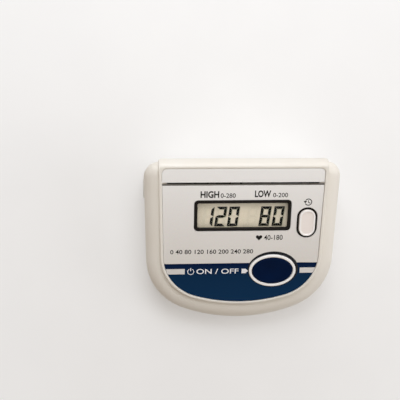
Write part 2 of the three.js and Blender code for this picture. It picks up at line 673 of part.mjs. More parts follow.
function makeKey(key, proud) {
  const edge = [[0, 0], [0.35, 0.12], [0.7, 0.42], [0.9, 0.75], [1, 1]];
  const rings = [key.outline(0), ...edge.map(([, inward]) => key.outline(-KEY_EDGE * inward))];
  const heights = [FLANGE_TOP - OVERLAP, ...edge.map(([rise]) => proud - KEY_EDGE * (1 - rise))];
  const outlines = rings.map((shape, i) => shape.getPoints(key.segments).slice(0, -1).map(
    (p) => new THREE.Vector3(p.x, p.y, heights[i]),
  ));
  const cap = toSolid(placed(loft(outlines), key.place));
  const flange = toSolid(keyPrism(key, KEY_FLANGE, FLANGE_TOP - KEY_FLANGE_THICKNESS, FLANGE_TOP));
  const [u, s] = key.place;
  const stem = solidBar('z', STEM_RADIUS, PLUNGER_TOP + CLEARANCE, FLANGE_TOP - OVERLAP, [u, -s], 16);
  return toGeometry(join(cap, flange, stem));
}

function makeKeyRing(key, width, proud) {
  const outer = toSolid(keyPrism(key, CLEARANCE + width, -PANEL_THICKNESS, proud));
  return toGeometry(cut(outer, toSolid(keyPrism(key, CLEARANCE, -BEYOND, BEYOND))));
}

function makeSwitch([u, s]) {
  const half = SWITCH_SIZE / 2;
  const body = solidBlock(
    [u - half, -s - half, -BOARD_DEPTH + CLEARANCE], [u + half, -s + half, SWITCH_TOP],
  );
  const well = solidBar(
    'z', PLUNGER_RADIUS + CLEARANCE, SWITCH_TOP - PLUNGER_LENGTH - CLEARANCE, 0, [u, -s], 16,
  );
  return toGeometry(cut(body, well));
}

const makePlunger = ([u, s]) => (
  bar('z', PLUNGER_RADIUS, PLUNGER_TOP - PLUNGER_LENGTH, PLUNGER_TOP, [u, -s], 16)
);

function makeBoard() {
  const plate = solidBlock(
    [-BOARD_HALF, -BOARD_BOTTOM, BOARD_UNDER], [BOARD_HALF, -BOARD_TOP, -BOARD_DEPTH],
  );
  const holes = BOARD_SCREW_PLACES.map(([u, s]) => solidBar(
    'z', BOARD_SCREW_RADIUS + CLEARANCE, BOARD_UNDER - 1, 0, [u, -s], 12,
  ));
  const intoFace = face.matrixWorld.clone().invert();
  const notches = CASE_SCREW_PLACES.map((place) => toSolid(
    bar('z', CASE_BOSS_RADIUS + 2 * CLEARANCE, 0, FACE_TOP_Z, place).applyMatrix4(intoFace),
  ));
  return toGeometry(cut(plate, ...holes, ...notches));
}

// A screw along Z with its head at the bottom
function makeScrew(radius, [headRadius, headHeight], length) {
  const socket = headRadius * 0.45;
  const points = [
    [0, headHeight / 2], [socket, headHeight / 2], [socket, 0], [headRadius, 0],
    [headRadius, headHeight], [radius, headHeight], [radius, headHeight + length - radius],
    [0, headHeight + length],
  ].map(([r, z]) => new THREE.Vector2(r, z));
  const geometry = new THREE.LatheGeometry(points, 8);
  geometry.rotateX(Math.PI / 2);
  return geometry;
}

function underBoard([u, s], [width, depth, height]) {
  const top = BOARD_UNDER - CLEARANCE;
  return block(
    [u - width / 2, -s - depth / 2, top - height], [u + width / 2, -s + depth / 2, top],
  );
}

function makeSensor() {
  const [u, s] = SENSOR_PLACE;
  const base = BOARD_UNDER - CLEARANCE - SENSOR_SIZE[2];
  const nozzle = solidBar('z', NOZZLE_RADIUS, base - NOZZLE_LENGTH, base + 1, [u, -s], 12);
  const way = solidBar('z', AIR_WAY, base - NOZZLE_LENGTH - 1, base + 1, [u, -s], 8);
  return toGeometry(cut(toSolid(underBoard(SENSOR_PLACE, SENSOR_SIZE)).add(nozzle), way));
}

// Cells stand side by side; every other one is turned round
function makeCell() {
  const [nub, nubLength] = CELL_NUB;
  const body = CELL_LENGTH - nubLength;
  const points = [
    [0, 0], [CELL_RADIUS - CELL_EDGE, 0], [CELL_RADIUS, CELL_EDGE], [CELL_RADIUS, body - CELL_EDGE],
    [CELL_RADIUS - CELL_EDGE, body], [nub, body], [nub, CELL_LENGTH], [0, CELL_LENGTH],
  ].map(([r, y]) => new THREE.Vector2(r, y));
  return new THREE.LatheGeometry(points, 14);
}

class ConicalHelix extends THREE.Curve {
  getPoint(t, target = new THREE.Vector3()) {
    const angle = 2 * Math.PI * SPRING_TURNS * t;
    const radius = THREE.MathUtils.lerp(SPRING_RADII[0], SPRING_RADII[1], t);
    const along = (SPRING_LENGTH - SPRING_WIRE) * t;
    return target.set(radius * Math.cos(angle), along, radius * Math.sin(angle));
  }
}

// A contact strip behind some cells, with a spring at the cells whose flat end meets it
function makeContact(cells, springCells, atBack) {
  const places = cells.map((cell) => (cell - 1.5) * CELL_PITCH);
  const half = CONTACT_HEIGHT / 2;
  const inside = atBack ? BAY_BACK - CLEARANCE - CONTACT_THICKNESS : BAY_FRONT + CLEARANCE;
  const plate = solidBlock(
    [Math.min(...places) - half, inside, CELL_Z - half],
    [Math.max(...places) + half, inside + CONTACT_THICKNESS, CELL_Z + half],
  );
  const section = new THREE.Shape();
  section.absarc(0, 0, SPRING_WIRE, 0, 2 * Math.PI);
  const springs = springCells.map((cell) => {
    const wire = new THREE.ExtrudeGeometry(section, {
      steps: 7 * SPRING_TURNS, bevelEnabled: false, extrudePath: new ConicalHelix(), curveSegments: 3,
    });
    if (atBack) {
      wire.rotateX(Math.PI);
    }
    wire.translate((cell - 1.5) * CELL_PITCH, atBack ? inside : inside + CONTACT_THICKNESS, CELL_Z);
    return toSolid(wire);
  });
  return toGeometry(join(plate, ...springs));
}

// Pump, lying along X
function makeMotor() {
  const end = MOTOR_START + MOTOR_LENGTH;
  const bore = SHAFT_RADIUS + CLEARANCE;
  const [neckRadius, neckLength] = MOTOR_NECK;
  return turnedX([
    [MOTOR_START + MOTOR_LENGTH / 2, 0], [MOTOR_START + MOTOR_LENGTH / 2, bore], [MOTOR_START, bore],
    [MOTOR_START, MOTOR_RADIUS], [end - 1, MOTOR_RADIUS], [end, MOTOR_RADIUS - 1], [end, neckRadius],
    [end + neckLength, neckRadius], [end + neckLength, 0],
  ], [PUMP_Y, AIR_Z]);
}

function makeHead() {
  const inner = HEAD_RADIUS - HEAD_WALL;
  const floor = HEAD_START + HEAD_FLOOR;
  return turnedX([
    [HEAD_START, 0], [HEAD_START, HEAD_RADIUS], [PUMP_FACE, HEAD_RADIUS], [PUMP_FACE, inner],
    [floor, inner], [floor, 0],
  ], [PUMP_Y, AIR_Z]);
}

function makeRotor() {
  const start = MOTOR_START - CAM_GAP - CAM_WIDTH;
  const end = MOTOR_START + MOTOR_LENGTH / 2 - CLEARANCE;
  const shaft = solidBar('x', SHAFT_RADIUS, start, end, [PUMP_Y, AIR_Z], 16);
  const cam = solidBar('x', CAM_RADIUS, start, start + CAM_WIDTH, [PUMP_Y, AIR_Z - CAM_THROW], 20);
  return toGeometry(shaft.add(cam));
}

const DIAPHRAGM_END = HEAD_START - CLEARANCE;
const HEAD_COVER_END = DIAPHRAGM_END - DIAPHRAGM_THICKNESS - CLEARANCE;
const HEAD_COVER_START = HEAD_COVER_END - COVER_HEAD_THICKNESS;

function makeHeadCover() {
  const tip = HEAD_COVER_START - NOZZLE_LENGTH;
  return turnedX([
    [tip, AIR_WAY], [tip, NOZZLE_RADIUS], [HEAD_COVER_START, NOZZLE_RADIUS],
    [HEAD_COVER_START, HEAD_RADIUS - 1], [HEAD_COVER_START + 1, HEAD_RADIUS],
    [HEAD_COVER_END, HEAD_RADIUS], [HEAD_COVER_END, AIR_WAY], [tip, AIR_WAY],
  ], [PUMP_Y, AIR_Z]);
}

function makePumpMount(x, radius) {
  const low = CASE_FLOOR + CLEARANCE;
  const saddle = solidBlock(
    [x - MOUNT_WIDTH / 2, PUMP_Y - MOUNT_HALF, low],
    [x + MOUNT_WIDTH / 2, PUMP_Y + MOUNT_HALF, MOUNT_HEIGHT],
  );
  const hollow = solidBar('x', radius + CLEARANCE, x - MOUNT_WIDTH, x + MOUNT_WIDTH, [PUMP_Y, AIR_Z], 20);
  return toGeometry(cut(saddle, hollow));
}

function makeManifold() {
  const [width, depth, height] = MANIFOLD_SIZE.map((size) => size / 2);
  const body = solidBlock(
    [MANIFOLD_X - width, AIR_Y - depth, AIR_Z - height],
    [MANIFOLD_X + width, AIR_Y + depth, AIR_Z + height],
  );
  const pipe = (radius, extra, sides) => join(
    solidBar(
      'x', radius, MANIFOLD_X - width - NOZZLE_LENGTH - extra, MANIFOLD_X + width + NOZZLE_LENGTH + extra,
      [AIR_Y, AIR_Z], sides,
    ),
    solidBar(
      'y', radius, AIR_Y - depth - NOZZLE_LENGTH - extra, AIR_Y + depth + NOZZLE_LENGTH + extra,
      [MANIFOLD_X, AIR_Z], sides,
    ),
    solidBar('z', radius, AIR_Z, AIR_Z + height + NOZZLE_LENGTH + extra, [MANIFOLD_X, AIR_Y], sides),
  );
  return toGeometry(cut(body.add(pipe(NOZZLE_RADIUS, 0, 12)), pipe(AIR_WAY, 1, 8)));
}

function makeValveBody() {
  const [width, depth, height] = VALVE_SIZE;
  const back = VALVE_FRONT + depth;
  const body = solidBlock(
    [MANIFOLD_X - width / 2, VALVE_FRONT, AIR_Z - height / 2],
    [MANIFOLD_X + width / 2, back, AIR_Z + height / 2],
  );
  const port = solidBar(
    'y', NOZZLE_RADIUS + CLEARANCE, VALVE_FRONT - 1, VALVE_FRONT + NOZZLE_LENGTH, [MANIFOLD_X, AIR_Z], 12,
  );
  const way = solidBar('y', AIR_WAY, VALVE_FRONT, back, [MANIFOLD_X, AIR_Z], 8);
  const bore = solidBar(
    'y', ARMATURE_RADIUS + CLEARANCE, back - ARMATURE_LENGTH - ARMATURE_TRAVEL - CLEARANCE, back + 1,
    [MANIFOLD_X, AIR_Z], 16,
  );
  return toGeometry(cut(body, port, way, bore));
}

function makeArmature() {
  const start = VALVE_FRONT + VALVE_SIZE[1] - ARMATURE_LENGTH - ARMATURE_TRAVEL;
  return bar('y', ARMATURE_RADIUS, start, start + ARMATURE_LENGTH, [MANIFOLD_X, AIR_Z], 16);
}

function makeBleedValve() {
  const end = AIR_Y - MANIFOLD_SIZE[1] / 2 - CLEARANCE;
  const body = solidBar('y', BLEED_RADIUS, end - BLEED_LENGTH, end, [MANIFOLD_X, AIR_Z], 16);
  const port = solidBar(
    'y', NOZZLE_RADIUS + CLEARANCE, end - NOZZLE_LENGTH - CLEARANCE, end + 1, [MANIFOLD_X, AIR_Z], 12,
  );
  const way = solidBar('y', AIR_WAY / 2, end - BLEED_LENGTH - 1, end, [MANIFOLD_X, AIR_Z], 8);
  return toGeometry(cut(body, port, way));
}

// A rubber tube over two nozzles, along hand-picked points
function makeTube(points) {
  const section = new THREE.Shape();
  section.absarc(0, 0, TUBE_RADIUS, 0, 2 * Math.PI);
  const bore = new THREE.Path();
  bore.absarc(0, 0, TUBE_BORE, 0, 2 * Math.PI);
  section.holes.push(bore);
  const path = new THREE.CatmullRomCurve3(points.map((p) => new THREE.Vector3(...p)), false, 'chordal');
  return new THREE.ExtrudeGeometry(section, {
    steps: 10, bevelEnabled: false, extrudePath: path, curveSegments: 5,
  });
}

// A tube between two nozzles that point at each other along X, with an easy S between their tips
function makeCrossTube([fromX, fromY], [toX, toY]) {
  const start = fromX - CLEARANCE;
  const end = toX + CLEARANCE;
  const hold = NOZZLE_LENGTH + CLEARANCE;
  return makeTube([
    [start, fromY, AIR_Z], [start - hold / 2, fromY, AIR_Z], [start - hold, fromY, AIR_Z],
    [(start + end) / 2, (fromY + toY) / 2, AIR_Z],
    [end + hold, toY, AIR_Z], [end + hold / 2, toY, AIR_Z], [end, toY, AIR_Z],
  ]);
}

function makeSensorTube() {
  const start = AIR_Z + MANIFOLD_SIZE[2] / 2 + CLEARANCE;
  const [u, s] = SENSOR_PLACE;
  const base = BOARD_UNDER - CLEARANCE - SENSOR_SIZE[2];
  const nozzlePoint = (w) => new THREE.Vector3(u, -s, w).applyMatrix4(face.matrixWorld).toArray();
  return makeTube([
    [MANIFOLD_X, AIR_Y, start], [MANIFOLD_X, AIR_Y, start + NOZZLE_LENGTH / 2],
    [MANIFOLD_X, AIR_Y, start + NOZZLE_LENGTH],
    nozzlePoint(base - NOZZLE_LENGTH), nozzlePoint(base - NOZZLE_LENGTH / 2),
    nozzlePoint(base - CLEARANCE),
  ]);
}

const SOCKET_END = SOCKET_LENGTH - SIDE_FACE;

function makeAirSocket() {
  const [flangeRadius, flangeThickness] = SOCKET_FLANGE;
  const tip = SOCKET_END + NOZZLE_LENGTH;
  return turnedX([
    [-SIDE_FACE, SOCKET_BORE], [-SIDE_FACE, flangeRadius], [flangeThickness - SIDE_FACE, flangeRadius],
    [flangeThickness - SIDE_FACE, SOCKET_RADIUS], [SOCKET_END, SOCKET_RADIUS],
    [SOCKET_END, NOZZLE_RADIUS], [tip, NOZZLE_RADIUS], [tip, AIR_WAY],
    [SOCKET_BORE_DEPTH - SIDE_FACE, AIR_WAY], [SOCKET_BORE_DEPTH - SIDE_FACE, SOCKET_BORE],
    [-SIDE_FACE, SOCKET_BORE],
  ], [AIR_Y, AIR_Z]);
}

function makeJack() {
  const [length, width, height] = JACK_SIZE;
  const body = solidBlock(
    [JACK_FRONT - length, JACK_Y - width / 2, AIR_Z - height / 2],
    [JACK_FRONT, JACK_Y + width / 2, AIR_Z + height / 2],
  );
  const place = [JACK_Y, AIR_Z];
  const collar = solidBar('x', JACK_COLLAR, JACK_FRONT - 1, SIDE_FACE, place, 24);
  const boreEnd = JACK_FRONT - length + JACK_BACK;
  const bore = solidBar('x', JACK_BORE, boreEnd, SIDE_FACE + 1, place, 24);
  const pin = solidBar('x', JACK_PIN, boreEnd - 1, SIDE_FACE - JACK_PIN_INSET, place, 12);
  return toGeometry(cut(body.add(collar), bore).add(pin));
}

// Finishes
const finish = (color, roughness, metalness = 0) => new THREE.MeshStandardMaterial({
  color, roughness, metalness,
});
const FINISHES = {
  ivory: () => finish(0xece7dc, 0.45),
  silver: () => finish(0xcbc6bc, 0.35, 0.2),
  navy: () => finish(0x112a4a, 0.3),
  deepNavy: () => finish(0x0c1733, 0.25),
  black: () => finish(0x14100a, 0.35),
  clear: () => finish(0xe6ece8, 0.05),
  display: () => finish(0xc8bfa6, 0.2),
  white: () => finish(0xe3dad3, 0.4),
  rubber: () => finish(0x2b2b2d, 0.8),
  grey: () => finish(0x9a9a96, 0.5),
  board: () => finish(0x1f5b3a, 0.45),
  steel: () => finish(0xa9acb0, 0.35, 1),
  nickel: () => finish(0xc9c6bd, 0.3, 1),
  cell: () => finish(0x3a4148, 0.35, 0.3),
};

const monitor = new THREE.Group();
monitor.add(face);

function add(parent, name, geometry, finishName, position = [0, 0, 0]) {
  const mesh = new THREE.Mesh(geometry, FINISHES[finishName]());
  mesh.name = name;
  mesh.position.set(...position);
  parent.add(mesh);
  return mesh;
}

// Cases, cover, feet and case screws
add(monitor, 'upper_case', makeUpperCase(), 'ivory');
add(monitor, 'lower_case', makeLowerCase(), 'ivory');
add(monitor, 'battery_cover', makeBatteryCover(), 'ivory');
FOOT_PLACES.forEach(([x, y], i) => {
  const height = FOOT_HEIGHT + FOOT_POCKET - CLEARANCE;
  add(monitor, `foot_${i + 1}`, bar('z', FOOT_RADIUS, 0, height, [0, 0], 20), 'rubber', [x, y, 0]);
});
CASE_SCREW_PLACES.forEach(([x, y], i) => {
  const screw = makeScrew(CASE_SCREW_RADIUS, CASE_SCREW_HEAD, CASE_SCREW_LENGTH);
  const low = CASE_SCREW_SEAT - CLEARANCE - CASE_SCREW_HEAD[1];
  add(monitor, `case_screw_${i + 1}`, screw, 'steel', [x, y, low]);
});

// Face
add(face, 'face_panel', makeFacePanel(), 'silver');
add(face, 'control_panel', makeControlPanel(), 'navy');
add(face, 'display_bezel', makeDisplayBezel(), 'black');
add(face, 'display_window', displayPrism(
  PANE_WIDTH, PANE_HEIGHT, OPENING_RADIUS, PANEL_SEAT - WINDOW_THICKNESS, PANEL_SEAT,
), 'clear');
add(face, 'lcd_glass', displayPrism(GLASS_WIDTH, GLASS_HEIGHT, 0.3, GLASS_BOTTOM, GLASS_TOP), 'display');
add(face, 'lcd_holder', makeHolder(), 'white');
add(face, 'zebra_strip_upper', makeZebra(1), 'rubber');
add(face, 'zebra_strip_lower', makeZebra(-1), 'rubber');

// Keys and switches
add(face, 'start_button', makeKey(KEYS.start, START_PROUD), 'deepNavy');
add(face, 'start_button_ring', makeKeyRing(KEYS.start, START_RING_BAR, START_RING_PROUD), 'ivory');
add(face, 'memory_button', makeKey(KEYS.memory, MEMORY_PROUD), 'white');
add(face, 'memory_button_surround', makeKeyRing(
  KEYS.memory, MEMORY_SURROUND_BAR, MEMORY_SURROUND_PROUD,
), 'black');
add(face, 'start_switch', makeSwitch(START_PLACE), 'black');
add(face, 'start_switch_plunger', makePlunger(START_PLACE), 'grey');
add(face, 'memory_switch', makeSwitch(MEMORY_PLACE), 'black');
add(face, 'memory_switch_plunger', makePlunger(MEMORY_PLACE), 'grey');

// Circuit board
add(face, 'main_board', makeBoard(), 'board');
BOARD_SCREW_PLACES.forEach(([u, s], i) => {
  const screw = makeScrew(BOARD_SCREW_RADIUS, BOARD_SCREW_HEAD, BOARD_SCREW_LENGTH);
  const low = BOARD_UNDER - CLEARANCE - BOARD_SCREW_HEAD[1];
  add(face, `board_screw_${i + 1}`, screw, 'steel', [u, -s, low]);
});
add(face, 'control_chip', underBoard(CHIP_PLACE, CHIP_SIZE), 'black');
add(face, 'buzzer', bar(
  'z', BUZZER_SIZE[0], -BOARD_DEPTH + CLEARANCE, -BOARD_DEPTH + CLEARANCE + BUZZER_SIZE[1],
  [BUZZER_PLACE[0], -BUZZER_PLACE[1]], 20,
), 'black');
add(face, 'capacitor', bar(
  'z', CAPACITOR_SIZE[0], BOARD_UNDER - CLEARANCE - CAPACITOR_SIZE[1], BOARD_UNDER - CLEARANCE,
  [CAPACITOR_PLACE[0], -CAPACITOR_PLACE[1]], 16,
), 'grey');
add(face, 'pressure_sensor', makeSensor(), 'white');

// Pump, valves and air ways
add(monitor, 'pump_motor', makeMotor(), 'steel');
add(monitor, 'pump_rotor', makeRotor(), 'nickel');
add(monitor, 'pump_head', makeHead(), 'white');
add(monitor, 'pump_diaphragm', bar(
  'x', HEAD_RADIUS - 0.3, DIAPHRAGM_END - DIAPHRAGM_THICKNESS, DIAPHRAGM_END, [PUMP_Y, AIR_Z], 24,
), 'rubber');
add(monitor, 'pump_head_cover', makeHeadCover(), 'white');
add(monitor, 'pump_mount_left', makePumpMount(HEAD_MOUNT_X, HEAD_RADIUS), 'rubber');
add(monitor, 'pump_mount_right', makePumpMount(MOTOR_MOUNT_X, MOTOR_RADIUS), 'rubber');
add(monitor, 'air_manifold', makeManifold(), 'grey');
add(monitor, 'valve_body', makeValveBody(), 'steel');
add(monitor, 'valve_plunger', makeArmature(), 'nickel');
add(monitor, 'bleed_valve', makeBleedValve(), 'rubber');
const manifoldHalf = MANIFOLD_SIZE[0] / 2;
add(monitor, 'pump_tube', makeCrossTube(
  [HEAD_COVER_START, PUMP_Y], [MANIFOLD_X + manifoldHalf, AIR_Y],
), 'rubber');
add(monitor, 'socket_tube', makeCrossTube(
  [MANIFOLD_X - manifoldHalf, AIR_Y], [SOCKET_END, AIR_Y],
), 'rubber');
add(monitor, 'sensor_tube', makeSensorTube(), 'rubber');
add(monitor, 'air_socket', makeAirSocket(), 'grey');
add(monitor, 'dc_jack', makeJack(), 'black');

// Cells and their contacts
for (let cell = 0; cell < 4; cell += 1) {
  const plusAtBack = cell % 2 === 0;
  const end = CONTACT_THICKNESS + 2 * CLEARANCE;
  const mesh = add(monitor, `cell_${cell + 1}`, makeCell(), 'cell', [
    (cell - 1.5) * CELL_PITCH,
    plusAtBack ? BAY_BACK - end - CELL_LENGTH : BAY_FRONT + end + CELL_LENGTH,
    CELL_Z,
  ]);
  mesh.rotation.z = plusAtBack ? 0 : Math.PI;
}
add(monitor, 'contact_front_left', makeContact([0, 1], [0], false), 'nickel');
add(monitor, 'contact_front_right', makeContact([2, 3], [2], false), 'nickel');
add(monitor, 'contact_back_left', makeContact([0], [], true), 'nickel');
add(monitor, 'contact_back_middle', makeContact([1, 2], [1], true), 'nickel');
add(monitor, 'contact_back_right', makeContact([3], [3], true), 'nickel');

export default monitor;
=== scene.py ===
# %% [markdown]
# # A desk blood pressure monitor
#
# This notebook dresses a working model of a small home monitor: an ivory case with a sloping face, a
# silver panel, a dark blue control strip, two keys and a reflective display. The mechanical model comes
# in as a fixed frame, and every new piece is laid over it in the same place and at the same size.

# %% Load the frame
import math

import bpy
import numpy as np
from mathutils import Euler, Matrix


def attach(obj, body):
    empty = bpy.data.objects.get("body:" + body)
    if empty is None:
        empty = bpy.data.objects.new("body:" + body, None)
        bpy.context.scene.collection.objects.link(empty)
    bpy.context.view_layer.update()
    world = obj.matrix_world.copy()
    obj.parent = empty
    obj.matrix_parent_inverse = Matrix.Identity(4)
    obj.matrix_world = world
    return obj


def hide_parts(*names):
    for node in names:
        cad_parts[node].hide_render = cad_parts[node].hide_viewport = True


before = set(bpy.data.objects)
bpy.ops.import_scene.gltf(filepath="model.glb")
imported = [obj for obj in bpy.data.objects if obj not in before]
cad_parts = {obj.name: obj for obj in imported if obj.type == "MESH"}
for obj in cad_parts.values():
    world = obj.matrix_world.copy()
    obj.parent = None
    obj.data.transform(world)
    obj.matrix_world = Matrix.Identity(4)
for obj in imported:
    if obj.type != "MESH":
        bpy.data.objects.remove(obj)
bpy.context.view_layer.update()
MM = 0.001

# %% [markdown]
# ## The camera
#
# A camera's place can be guessed by eye, or fitted: known points of the object are matched to where they
# fall in the photograph. Here the fit came first, so the three numbers of the place and the three angles
# are simply written down. The monitor is seen from almost straight above.

# %% Camera
CAMERA_PLACE = (-61.4, 44.2, 553.6)
CAMERA_ANGLES = (-1.78, -3.71, -0.29)
FOCAL_LENGTH, SENSOR_WIDTH = 68.4, 36


def into_scene(name, data):
    """A new object in the scene from a mesh, a curve, a camera or a lamp."""
    obj = bpy.data.objects.new(name, data)
    bpy.context.scene.collection.objects.link(obj)
    return obj


def add_camera():
    """Place in millimetres and angles in degrees, turned to metres and radians."""
    data = bpy.data.cameras.new("view")
    data.lens = FOCAL_LENGTH
    data.sensor_width = SENSOR_WIDTH
    camera = into_scene("view", data)
    camera.location = [value * MM for value in CAMERA_PLACE]
    camera.rotation_euler = Euler([math.radians(angle) for angle in CAMERA_ANGLES])
    bpy.context.scene.camera = camera


add_camera()
print("camera:", CAMERA_PLACE, "mm, turned by", CAMERA_ANGLES, "degrees")

# %% [markdown]
# ## Sizes shared with the frame
#
# The new surfaces have to sit where the model's pieces sit, so the driving sizes are repeated here in
# millimetres. The face has its own coordinates, which start at the top edge of the silver panel: u runs
# to the right, v up the slope and w away from the panel. A mark's or key's place is written as u and the
# way down the slope, which is minus v.
#
# Each D outline is told by its half widths at the back and the front, its back and front edges, the
# radius of its back corners, and the radii of its front corners and of the wide arc between them.

# %% Driving sizes
FACE_TILT = math.radians(18)
FACE_TOP_Y, FACE_TOP_Z = 48.9, 58
PARTING, FOOT_HEIGHT, FLOOR, WALL, CLEARANCE = 11, 2, 2.2, 2, 0.3
SHOULDER_WIDTH, SHOULDER_HEIGHT, WING_DROP = 9, 7, 2.2
RIM_HEIGHT, RIM_WIDTH, ROLL_WIDTH, ROLL_HEIGHT = 0.5, 2.3, 6.5, 7.7
PLATFORM_BACK, PANEL_THICKNESS, CONTROL_TOP = 56, 1, 67.9
BEYOND = 70  # farther out than any side of the case, where cutting tools begin

WING = dict(back_half=66, front_half=65, back=53.8, front=-56, back_radius=10, corner=39, wide=110.7)
PANEL = dict(back_half=54, front_half=53.1, back=0, front=-96.8, back_radius=3.4, corner=31, wide=105)
PLATFORM = dict(
    back_half=PANEL["back_half"] + RIM_WIDTH,
    front_half=PANEL["front_half"] + RIM_WIDTH,
    back=(PLATFORM_BACK - FACE_TOP_Y) / math.cos(FACE_TILT),
    front=PANEL["front"] - RIM_WIDTH,
    back_radius=1.8,
    corner=PANEL["corner"] + RIM_WIDTH,
    wide=PANEL["wide"] + RIM_WIDTH,
)
print("half widths at the back:", [form["back_half"] for form in (WING, PLATFORM, PANEL)])

# %% [markdown]
# ## The outline that everything shares
#
# Case, platform and panel are all one D shape: a straight back with small corners, sides that draw in a
# little, and two large front corners that flow into one wide arc. A spline could be drawn through a few
# points, but arcs that touch each other are exact, and moving every arc's edge by the same amount gives
# a true offset. Every outline has the same number of points, so any two can be joined by quads.

# %% Outlines
LEAST_RADIUS = 0.15  # no corner gets sharper than this, so that every outline keeps its points apart
STRAIGHT_POINTS, BACK_CORNER_POINTS, FRONT_CORNER_POINTS, FRONT_POINTS = 24, 14, 36, 20


def arc(centre, radius, start, end, count):
    """Points on a circle: centre plus radius times the cosine and sine of evenly spaced angles."""
    angle = np.linspace(start, end, count)
    return np.column_stack([centre[0] + radius * np.cos(angle), centre[1] + radius * np.sin(angle)])


def line(start, end, count, power=1):
    """Start times one minus the step, plus end times the step, without the ends themselves.

    A power over one gathers the points near the start.
    """
    step = np.linspace(0, 1, count + 2)[1:-1, None] ** power
    return np.asarray(start) * (1 - step) + np.asarray(end) * step


def d_outline(form, inset=0.0):
    """Right half: line, small arc, line, large arc, wide arc. Left: its mirror image. Counter-clockwise."""
    corner, wide = form["corner"] - inset, form["wide"] - inset
    centre_y = form["front"] + form["wide"]
    corner_x = form["front_half"] - inset - corner
    corner_y = centre_y - math.sqrt((wide - corner) ** 2 - corner_x**2)
    turn = math.atan2(corner_y - centre_y, corner_x)
    small = max(form["back_radius"] - inset, LEAST_RADIUS)
    back_centre = (form["back_half"] - inset - small, form["back"] - inset - small)
    middle = (0, form["back"] - inset)
    back = line(middle, (back_centre[0], form["back"] - inset), STRAIGHT_POINTS)
    back_corner = arc(back_centre, small, math.pi / 2, 0, BACK_CORNER_POINTS)
    side = line(back_corner[-1], (corner_x + corner, corner_y), STRAIGHT_POINTS, power=2)
    front_corner = arc((corner_x, corner_y), corner, 0, turn, FRONT_CORNER_POINTS)
    front = arc((0, centre_y), wide, turn, -math.pi / 2, FRONT_POINTS)[1:]
    right = np.vstack([[middle], back, back_corner, side, front_corner, front])
    left = right[1:-1] * (-1, 1)
    return np.vstack([right, left[::-1]])[::-1]


print("outline points:", len(d_outline(WING)))


# %% From the face to the object
def to_world(u, v, w):
    """From the face's own coordinates to the object's: a turn by the tilt, then a shift."""
    u, v, w = np.broadcast_arrays(np.asarray(u, float), v, w)
    y = FACE_TOP_Y + v * math.cos(FACE_TILT) - w * math.sin(FACE_TILT)
    z = FACE_TOP_Z + v * math.sin(FACE_TILT) + w * math.cos(FACE_TILT)
    return np.stack([u, y, z], axis=-1)


def face_ring(outline, w):
    """An outline laid on the slope, at one height over the panel."""
    return to_world(outline[:, 0], outline[:, 1], w)


def face_plane(y):
    """The panel's height at depth y: the top edge's, plus the way from there times the tilt's tangent."""
    return FACE_TOP_Z + (y - FACE_TOP_Y) * math.tan(FACE_TILT)


print("front of the panel:", to_world(0, PANEL["front"], 0).round(1), "mm")

# %% [markdown]
# ## Colours and a helper for materials
#
# Paints and plastics are chosen as sRGB values, as a colour picker shows them, while a renderer adds
# light in linear numbers. One function turns the one into the other. One more adds a node with its
# settings and its links, so that a material reads as a short list.

# %% Material helpers
def linear(hex_colour):
    """Each channel: divided by 12.92 when very dark, otherwise raised to the power 2.4 after a shift."""
    channels = np.array([int(hex_colour[i : i + 2], 16) for i in (0, 2, 4)]) / 255
    value = np.where(channels <= 0.04045, channels / 12.92, ((channels + 0.055) / 1.055) ** 2.4)
    return (*value, 1.0)


def add_node(material, kind, settings=None, inputs=None):
    """Adds one node. A value that is a node output is linked; any other is written to the socket."""
    node = material.node_tree.nodes.new(kind)
    for name, value in (settings or {}).items():
        setattr(node, name, value)
    for name, value in (inputs or {}).items():
        if isinstance(value, bpy.types.NodeSocket):
            material.node_tree.links.new(value, node.inputs[name])
        else:
            node.inputs[name].default_value = value
    return node


def new_material(name, **sockets):
    """An empty material with one Principled shader whose plain sockets are set."""
    material = bpy.data.materials.new(name)
    material.use_nodes = True
    shader = material.node_tree.nodes["Principled BSDF"]
    for socket, value in sockets.items():
        shader.inputs[socket.replace("_", " ")].default_value = value
    return material, shader


def object_point(material):
    """The place on the piece in metres, which is the same at every pose."""
    return add_node(material, "ShaderNodeTexCoord").outputs["Object"]


def wire(material, output, shader, socket):
    """Links a node's output to a shader's socket."""
    material.node_tree.links.new(output, shader.inputs[socket])


print("mid grey in linear light:", round(float(linear("808080")[0]), 3))


# %% Ranges, ramps and relief
def map_range(material, value, **limits):
    """A number carried from one range to another, such as a place to a share."""
    inputs = {key.replace("_", " "): number for key, number in limits.items()}
    return add_node(material, "ShaderNodeMapRange", inputs={"Value": value, **inputs}).outputs["Result"]


def show_mix(owner, share, first, second, output="Material Output"):
    """What is seen is the first shader where the share is zero, and the second where it is one."""
    mix = add_node(owner, "ShaderNodeMixShader", inputs={0: share, 1: first, 2: second})
    wire(owner, mix.outputs["Shader"], owner.node_tree.nodes[output], "Surface")


def ramp(material, factor, stops):
    """A colour ramp from pairs of place and hex colour."""
    node = add_node(material, "ShaderNodeValToRGB", inputs={"Fac": factor})
    elements = node.color_ramp.elements
    for element, (place, colour) in zip(elements, (stops[0], stops[-1])):
        element.position = place
        element.color = linear(colour)
    for place, colour in stops[1:-1]:
        elements.new(place).color = linear(colour)
    return node.outputs["Color"]


def bump(material, shader, height, depth_mm, strength):
    """Tilts the shading as if the surface rose and fell by the depth."""
    inputs = {"Strength": strength, "Distance": depth_mm * MM, "Height": height}
    wire(material, add_node(material, "ShaderNodeBump", inputs=inputs).outputs["Normal"], shader, "Normal")


def noise(material, point, size_mm, detail=2.0):
    """Soft random grains of about this size."""
    inputs = {"Vector": point, "Scale": 1 / (size_mm * MM), "Detail": detail}
    return add_node(material, "ShaderNodeTexNoise", inputs=inputs).outputs["Fac"]


